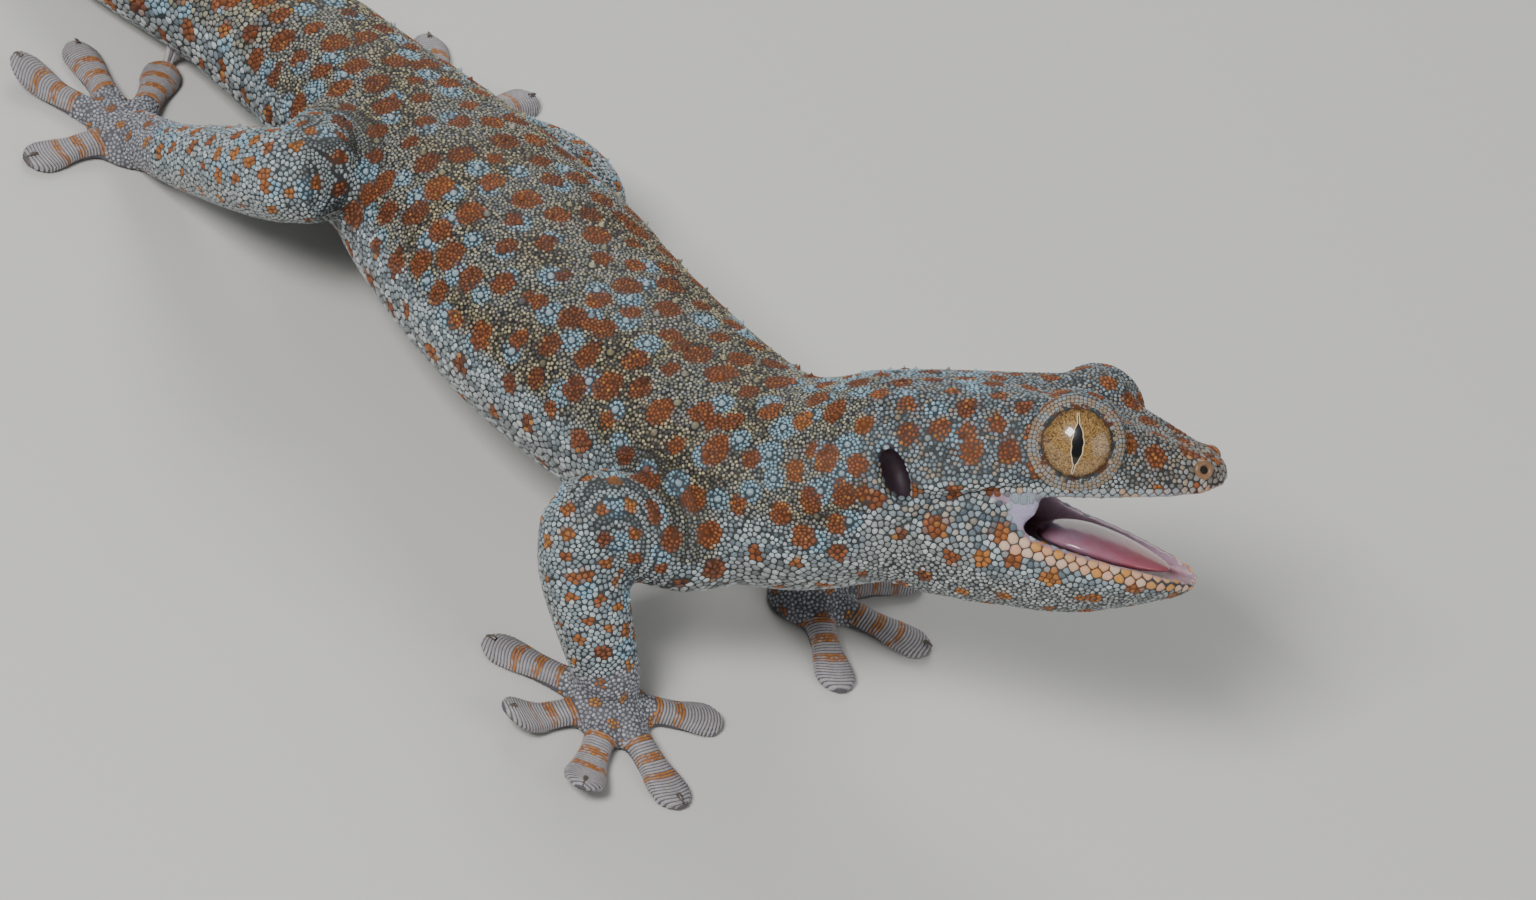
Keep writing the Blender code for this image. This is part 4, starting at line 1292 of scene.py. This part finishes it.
for label, starts in groups.items():
    here = nodeIs(pointNode, *starts)
    for form, chosen in (("granule", plain & (spacing < plateFromMm)), ("plate", plain & (spacing >= plateFromMm))):
        ids = np.nonzero(here & chosen)[0]
        if len(ids) < 3:
            continue
        piece = scalePiece(f"{label}_{form}s", ids, shapeWork[form])
        total += countTriangles(piece)
        print(f"{label} {form}s: {len(ids)} scales, {countTriangles(piece)} triangles")
for form, names in (("tubercle", ("tubercle",)), ("shield", ("labial", "lid", "chin"))):
    ids = np.nonzero(np.isin(kind, [kinds[n] for n in names]))[0]
    piece = scalePiece({"tubercle": "tubercles", "shield": "lip_and_lid_shields"}[form], ids, shapeWork[form])
    total += countTriangles(piece)


# Toe ridges: a ribbed sheet over each toe, its ribs bowed towards the tip, barred with orange behind the pad
def ribRow(palm, ahead, aside, station, first, work):
    # One row over the toe from side to side, bowed back towards the edges.
    row = []
    for angle in np.radians(np.linspace(-12, 192, 19)):
        out = aside * math.cos(angle) + np.array((0, 0, math.sin(angle)))
        spot, far = palm + ahead * station, 0.0
        for again in range(2):
            start = palm + ahead * (station - min(work["bow"] * (far * math.cos(angle)) ** 2, station - first))
            middle = throughToe(start)
            if middle is None:
                return None
            start[2] = middle
            hit = skinTree.ray_cast(Vector(start), Vector(out))
            far = hit[3] if hit[0] and hit[3] < work["widestMm"] else 1.0
        row.append((*(start + out * far), *out))
    return np.array(row)


def toeSheets(work):
    verts, colours, quads, count = [], [], [], 0
    for name, bearing, first, last in toes:
        palm = np.array((*feet[name]["palm"], 0.0))
        ahead, aside = toeRays(bearing)
        rows = []
        for step, station in enumerate(np.arange(first, last, work["stepMm"] / 3)):
            row = ribRow(palm, ahead, aside, station, first, work)
            if row is None:
                break
            rise = (-0.35, 1.0, 0.8)[step % 3] * work["riseMm"] * smoothStep(np.array(station), first, first + 0.5)
            rows.append(row[:, :3] + row[:, 3:] * (rise - 0.5 * max(0.0, 1 - (station - first) / 1.1)))
            pad = smoothStep(np.array(station), last - 4.6, last - 3.8)
            bar = (1 - pad) * (((station - first - 0.6) / 3.2) % 1 < 0.4)
            tone = 0.86 + 0.28 * draw.random(len(row))
            crest = blendTo(plainColour("toeGrey", len(row)), paint["straw"], 0.3 * draw.random(len(row)))
            orange = blendTo(plainColour("ember", len(row)), paint["amber"], 0.8 * draw.random(len(row)))
            edge = np.abs(np.linspace(-1, 1, len(row)))
            mixed = crest + (orange - crest) * (0.92 * bar * (draw.random(len(row)) > 0.5 * edge))[:, None]
            # Painted shade: the valley rows between the ridges are darkened, and the front row of each crest a little
            colours.append(mixed * tone[:, None] * (0.42, 1.0, 0.95)[step % 3])
        if len(rows) < 4:
            continue
        wide = len(rows[0])
        start = np.arange((len(rows) - 1) * wide).reshape(-1, wide)[:, :-1].ravel() + count
        quads.append(np.stack([start, start + 1, start + wide + 1, start + wide], 1))
        verts += rows
        count += len(rows) * wide
    return np.concatenate(verts), np.concatenate(quads), np.concatenate(colours)


verts, quads, ribColours = toeSheets(toeWork)
quadRoot = unwrapAt(verts[quads].mean(1))
patch = 0.0012 * np.array([(-1, -1), (1, -1), (1, 1), (-1, 1)])
ribs = meshPiece("toe_ribs", verts, [quads], ribColours, cornerUvs=(quadRoot[:, None] + patch).reshape(-1, 2))
ribs.data.materials.append(keratin)
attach(ribs, "root")
total += countTriangles(ribs)
print("coat triangles:", total)

# Eyes: a golden iris with brown veins behind a clear wet spectacle, and an upright notched slit
eyeWork = {"radiusMm": 6.14, "pupilTallMm": 3.95, "pupilWideMm": 0.72, "outlineMm": 0.11,
           "rimFromMm": 4.62, "edgeMm": 4.76, "edgeTubeMm": 0.15, "mapMm": 14}
eyePaint = {"gold": "#8c6736", "sand": "#b5935c", "vein": "#402a14", "slit": "#030202", "outline": "#e0cb9f",
            "rim": "#0c0907"}


def eyeMaterial(work, colours):
    material, tree, shader = newMaterial("wet_golden_eye", {"Roughness": 0.32, "IOR": 1.38, "Coat Weight": 1.0,
                                                            "Coat Roughness": 0.02})

    def maths(operation, first, second=0.0):
        node = addNode(tree, "ShaderNodeMath", {"operation": operation})
        for socket, value in zip(node.inputs, (first, second)):
            if isinstance(value, (int, float)):
                socket.default_value = value
            else:
                tree.links.new(value, socket)
        return node.outputs[0]

    def stepUp(value, low, high):
        node = addNode(tree, "ShaderNodeMapRange", {"From Min": low, "From Max": high}, {"Value": value})
        return node.outputs["Result"]

    def over(base, top, share):
        node = addNode(tree, "ShaderNodeMix", {"data_type": "RGBA"})
        for socket, value in ((0, share), (6, base), (7, top)):
            if isinstance(value, str):
                node.inputs[socket].default_value = rgba(value)
            else:
                tree.links.new(value, node.inputs[socket])
        return node.outputs[2]

    place = addNode(tree, "ShaderNodeUVMap", {"uv_map": "irisMap"})
    split = addNode(tree, "ShaderNodeSeparateXYZ", {}, {"Vector": place.outputs["UV"]})
    x = maths("MULTIPLY", maths("SUBTRACT", split.outputs[0], 0.5), work["mapMm"])
    y = maths("MULTIPLY", maths("SUBTRACT", split.outputs[1], 0.5), work["mapMm"])
    reach = maths("SQRT", maths("ADD", maths("MULTIPLY", x, x), maths("MULTIPLY", y, y)))
    turn = maths("ARCTAN2", x, y)
    polar = addNode(tree, "ShaderNodeCombineXYZ", {},
                    {"X": maths("MULTIPLY", turn, 5.0), "Y": maths("MULTIPLY", reach, 0.9)})
    veins = addNode(tree, "ShaderNodeTexNoise", {"Scale": 2.2, "Detail": 5.0, "Distortion": 1.6},
                    {"Vector": polar.outputs[0]})
    specks = addNode(tree, "ShaderNodeTexNoise", {"Scale": 62.0, "Detail": 3.0}, {"Vector": place.outputs["UV"]})
    iris = over(colours["gold"], colours["sand"], stepUp(specks.outputs["Fac"], 0.42, 0.62))
    iris = over(iris, colours["vein"], maths("MULTIPLY", stepUp(veins.outputs["Fac"], 0.5, 0.58), 0.85))
    iris = over(iris, colours["vein"], maths("MULTIPLY", stepUp(reach, 3.4, 4.4), 0.45))
    along = maths("DIVIDE", maths("ABSOLUTE", y), work["pupilTallMm"])
    narrowing = maths("SUBTRACT", 1.0, maths("MULTIPLY", maths("MULTIPLY", along, along), 2.1))
    bulk = maths("POWER", maths("MAXIMUM", narrowing, 0.0), 0.8)
    notch = maths("MULTIPLY", maths("SINE", maths("MULTIPLY", y, 4.3)), 0.07)
    half = maths("MULTIPLY", maths("ADD", bulk, maths("MULTIPLY", notch, bulk)), work["pupilWideMm"])
    hairline = maths("MULTIPLY", stepUp(along, 1.0, 0.9), 0.07)
    half = maths("MAXIMUM", half, hairline)
    lean = maths("ADD", x, maths("MULTIPLY", maths("MULTIPLY", y, y), 0.018))
    past = maths("SUBTRACT", maths("ABSOLUTE", lean), half)
    near = stepUp(past, work["outlineMm"] + 0.05, work["outlineMm"] - 0.03)
    near = maths("MULTIPLY", near, stepUp(along, 1.03, 0.97))
    iris = over(iris, colours["outline"], near)
    slit = maths("MULTIPLY", stepUp(past, 0.02, -0.02), stepUp(along, 1.01, 0.98))
    iris = over(iris, colours["slit"], slit)
    # Painted shade: a near-black band at the iris's edge, where the lids meet the eye
    iris = over(iris, colours["rim"], stepUp(reach, work["rimFromMm"] - 0.1, work["rimFromMm"] + 0.06))
    tree.links.new(iris, shader.inputs["Base Color"])
    return material


eyeLook = eyeMaterial(eyeWork, eyePaint)
# A near-black ring laid where the lid meets the eye, as painted shade in that crease
edgeLook = twoToneMaterial("dark_lid_edge", {"IOR": 1.45, "Roughness": 0.4}, "#15110f", "#3a3230", 0.7)
for side, sign in sides:
    deselectAll()
    outMm = math.sqrt((eyeWork["radiusMm"] + 0.05) ** 2 - eyeWork["edgeMm"] ** 2)
    seat = seatOf(eyeFrame(sign) @ Matrix.Translation((0, 0, outMm)))
    edge = addRing(eyeWork["edgeMm"], eyeWork["edgeTubeMm"], 96, 12, seat)
    edge.name = edge.data.name = f"lid_edge_{side}"
    edge.data.shade_smooth()
    edge.data.materials.append(edgeLook)
    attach(edge, "root")
    deselectAll()
    bpy.ops.mesh.primitive_uv_sphere_add(segments=96, ring_count=64, radius=eyeWork["radiusMm"] * mm,
                                         **seatOf(eyeFrame(sign)))
    eyeball = bpy.context.object
    eyeball.name = eyeball.data.name = f"eyeball_{side}"
    settlePlace(eyeball)
    eyeball.data.shade_smooth()
    local = within(eyeFrame(sign), vertexArrays(eyeball.data)[0])
    ids = loopVertices(eyeball.data, 1)[:, 0]
    layer = eyeball.data.uv_layers.active
    layer.name = "irisMap"
    flat = local[:, :2] / eyeWork["mapMm"] + 0.5
    flat[local[:, 2] < 0] = (0.98, 0.98)
    layer.data.foreach_set("uv", flat[ids].astype(np.float32).ravel())
    eyeball.data.materials.append(eyeLook)
    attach(eyeball, "root")
    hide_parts(f"eye_{side}")
print("eyes made")

# Tongue: broad and soft with a thick rim, wet and lilac pink
tongueWork = {"hex": "#9d8296", "tipHex": "#a8505c"}


def wetMaterial(name, base, other, roughness):
    material, tree, shader = newMaterial(name, {"IOR": 1.38, "Roughness": roughness, "Coat Weight": 0.7,
                                                "Coat Roughness": 0.12, "Subsurface Weight": 0.15,
                                                "Subsurface Radius": (0.0012, 0.0005, 0.0004)})
    patches = grained(tree, 2.4, Detail=3.0)
    tipward = addNode(tree, "ShaderNodeAttribute", {"attribute_name": "tipward"})
    mixed = addNode(tree, "ShaderNodeMath", {"operation": "ADD"}, {0: tipward.outputs["Fac"], 1: patches})
    share = addNode(tree, "ShaderNodeMapRange", {"From Min": 0.35, "From Max": 1.4}, {"Value": mixed.outputs[0]})
    colour = addNode(tree, "ShaderNodeMix", {"data_type": "RGBA", 6: rgba(base), 7: rgba(other)},
                     {0: share.outputs["Result"]})
    pores = grained(tree, 0.3, Detail=2.0)
    bump = addNode(tree, "ShaderNodeBump", {"Strength": 0.3, "Distance": 0.00006}, {"Height": pores})
    tree.links.new(colour.outputs[2], shader.inputs["Base Color"])
    tree.links.new(bump.outputs["Normal"], shader.inputs["Normal"])
    return material


softTongue = bpy.data.objects.new("soft_tongue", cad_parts["tongue"].data.copy())
bpy.context.scene.collection.objects.link(softTongue)
makeActive(softTongue)
softTongue.data.materials.clear()
mergeActive()
softTongue.modifiers.new("round", "SUBSURF").levels = 2
applyAll(softTongue)
softTongue.data.shade_smooth()
tipward = within(jawTurn, vertexArrays(softTongue.data)[0])[:, 0]
tipLayer = softTongue.data.attributes.new("tipward", "FLOAT", "POINT")
tipLayer.data.foreach_set("value", smoothStep(tipward, 20, 36).astype(np.float32))
softTongue.data.materials.append(wetMaterial("wet_tongue", tongueWork["hex"], tongueWork["tipHex"], 0.2))
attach(softTongue, "root")
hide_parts("tongue")

# Nostril rims: a smooth peach swelling round each nostril
nostrilWork = {"ringMm": 0.9, "tubeMm": 0.42, "lift": -0.12}
rimLook = twoToneMaterial("smooth_peach_rim", {"IOR": 1.45, "Roughness": 0.32}, "#96704f", "#6c5440", 0.9)
for side, sign in sides:
    hole = outOf(headTurn, np.array(headWork["nostril"]) * (1, sign, 1))
    way = np.array(headTurn.to_3x3()) @ (0.45, sign * 0.8, 0.25)
    place = onSkin(hole)[0][0] + unit(way) * nostrilWork["lift"]
    deselectAll()
    rim = addRing(nostrilWork["ringMm"], nostrilWork["tubeMm"], 36, 16,
                  {"location": place * mm, "rotation": Vector(way).to_track_quat("Z", "Y").to_euler()})
    rim.name = rim.data.name = f"nostril_rim_{side}"
    rim.data.shade_smooth()
    rim.data.materials.append(rimLook)
    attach(rim, "root")

# Claws: small curved horn on top of the second to fifth toe pads, their points just short of the pads' edges
clawWork = {"lengthMm": 1.55, "baseMm": 0.36, "backMm": 1.5, "sides": 8, "rings": 7}


def clawMesh(work):
    verts, quads, tips = [], [], []
    for order, (name, bearing, first, last) in enumerate(toes):
        if order % 5 == 0:
            continue
        ahead, aside = toeRays(bearing)
        seat = np.array((*feet[name]["palm"], 0.0)) + ahead * (last - work["backMm"])
        seat[2] = throughToe(seat)
        top = np.array(skinTree.ray_cast(Vector(seat), Vector((0, 0, 1)))[0])
        base = len(verts)
        for ring in range(work["rings"]):
            share = ring / work["rings"]
            centre = top + ahead * share * work["lengthMm"]
            centre = centre + np.array((0, 0, 0.16 + 0.55 * share - 0.8 * share ** 2))
            girth = work["baseMm"] * (1 - share) ** 0.6
            for k in range(work["sides"]):
                angle = 2 * math.pi * k / work["sides"]
                verts.append(centre + aside * math.cos(angle) * girth + np.array((0, 0, math.sin(angle) * girth)))
        verts.append(top + ahead * work["lengthMm"] - np.array((0, 0, 0.12)))
        for ring in range(work["rings"] - 1):
            for k in range(work["sides"]):
                a, b = base + ring * work["sides"] + k, base + ring * work["sides"] + (k + 1) % work["sides"]
                quads.append((a, b, b + work["sides"], a + work["sides"]))
        tip = base + (work["rings"] - 1) * work["sides"]
        tips += [(tip + k, tip + (k + 1) % work["sides"], len(verts) - 1) for k in range(work["sides"])]
    return np.array(verts), np.array(quads), np.array(tips)


clawVerts, clawQuads, clawTips = clawMesh(clawWork)
claws = meshPiece("claws", clawVerts, [clawQuads, clawTips])
horn = twoToneMaterial("dark_horn_claw", {"IOR": 1.54, "Roughness": 0.3}, "#3b342e", "#6e6358", 0.6)
claws.data.materials.append(horn)
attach(claws, "root")
print("tongue, nostril rims and claws made")

# Stage: a plain pale floor and soft studio lights
stageWork = {"floorSize": 6.0, "floorHex": "#d6d4cf"}
deselectAll()
bpy.ops.mesh.primitive_plane_add(size=stageWork["floorSize"], location=(0, 0, -0.0002))
floor = bpy.context.object
floor.name = "floor"
paper = newMaterial("matte_studio_paper", {"Roughness": 0.85, "Base Color": rgba(stageWork["floorHex"])})[0]
floor.data.materials.append(paper)

lightWork = {
    "key": {"place": (0.15, -0.95, 1.05), "size": 0.42, "watts": 18},
    "fill": {"place": (1.2, 0.35, 0.55), "size": 1.0, "watts": 4.5},
    "back": {"place": (-0.9, 0.75, 0.9), "size": 0.8, "watts": 9},
}
for name, work in lightWork.items():
    towards = (Vector((0.05, 0, 0.03)) - Vector(work["place"])).to_track_quat("-Z", "Y").to_euler()
    bpy.ops.object.light_add(type="AREA", location=work["place"], rotation=towards)
    lamp = bpy.context.object
    lamp.name = name + "_light"
    lamp.data.size = work["size"]
    lamp.data.energy = work["watts"]
world = bpy.data.worlds.new("studio")
world.use_nodes = True
world.node_tree.nodes["Background"].inputs["Color"].default_value = rgba("#cfd6dd")
world.node_tree.nodes["Background"].inputs["Strength"].default_value = 0.26
bpy.context.scene.world = world
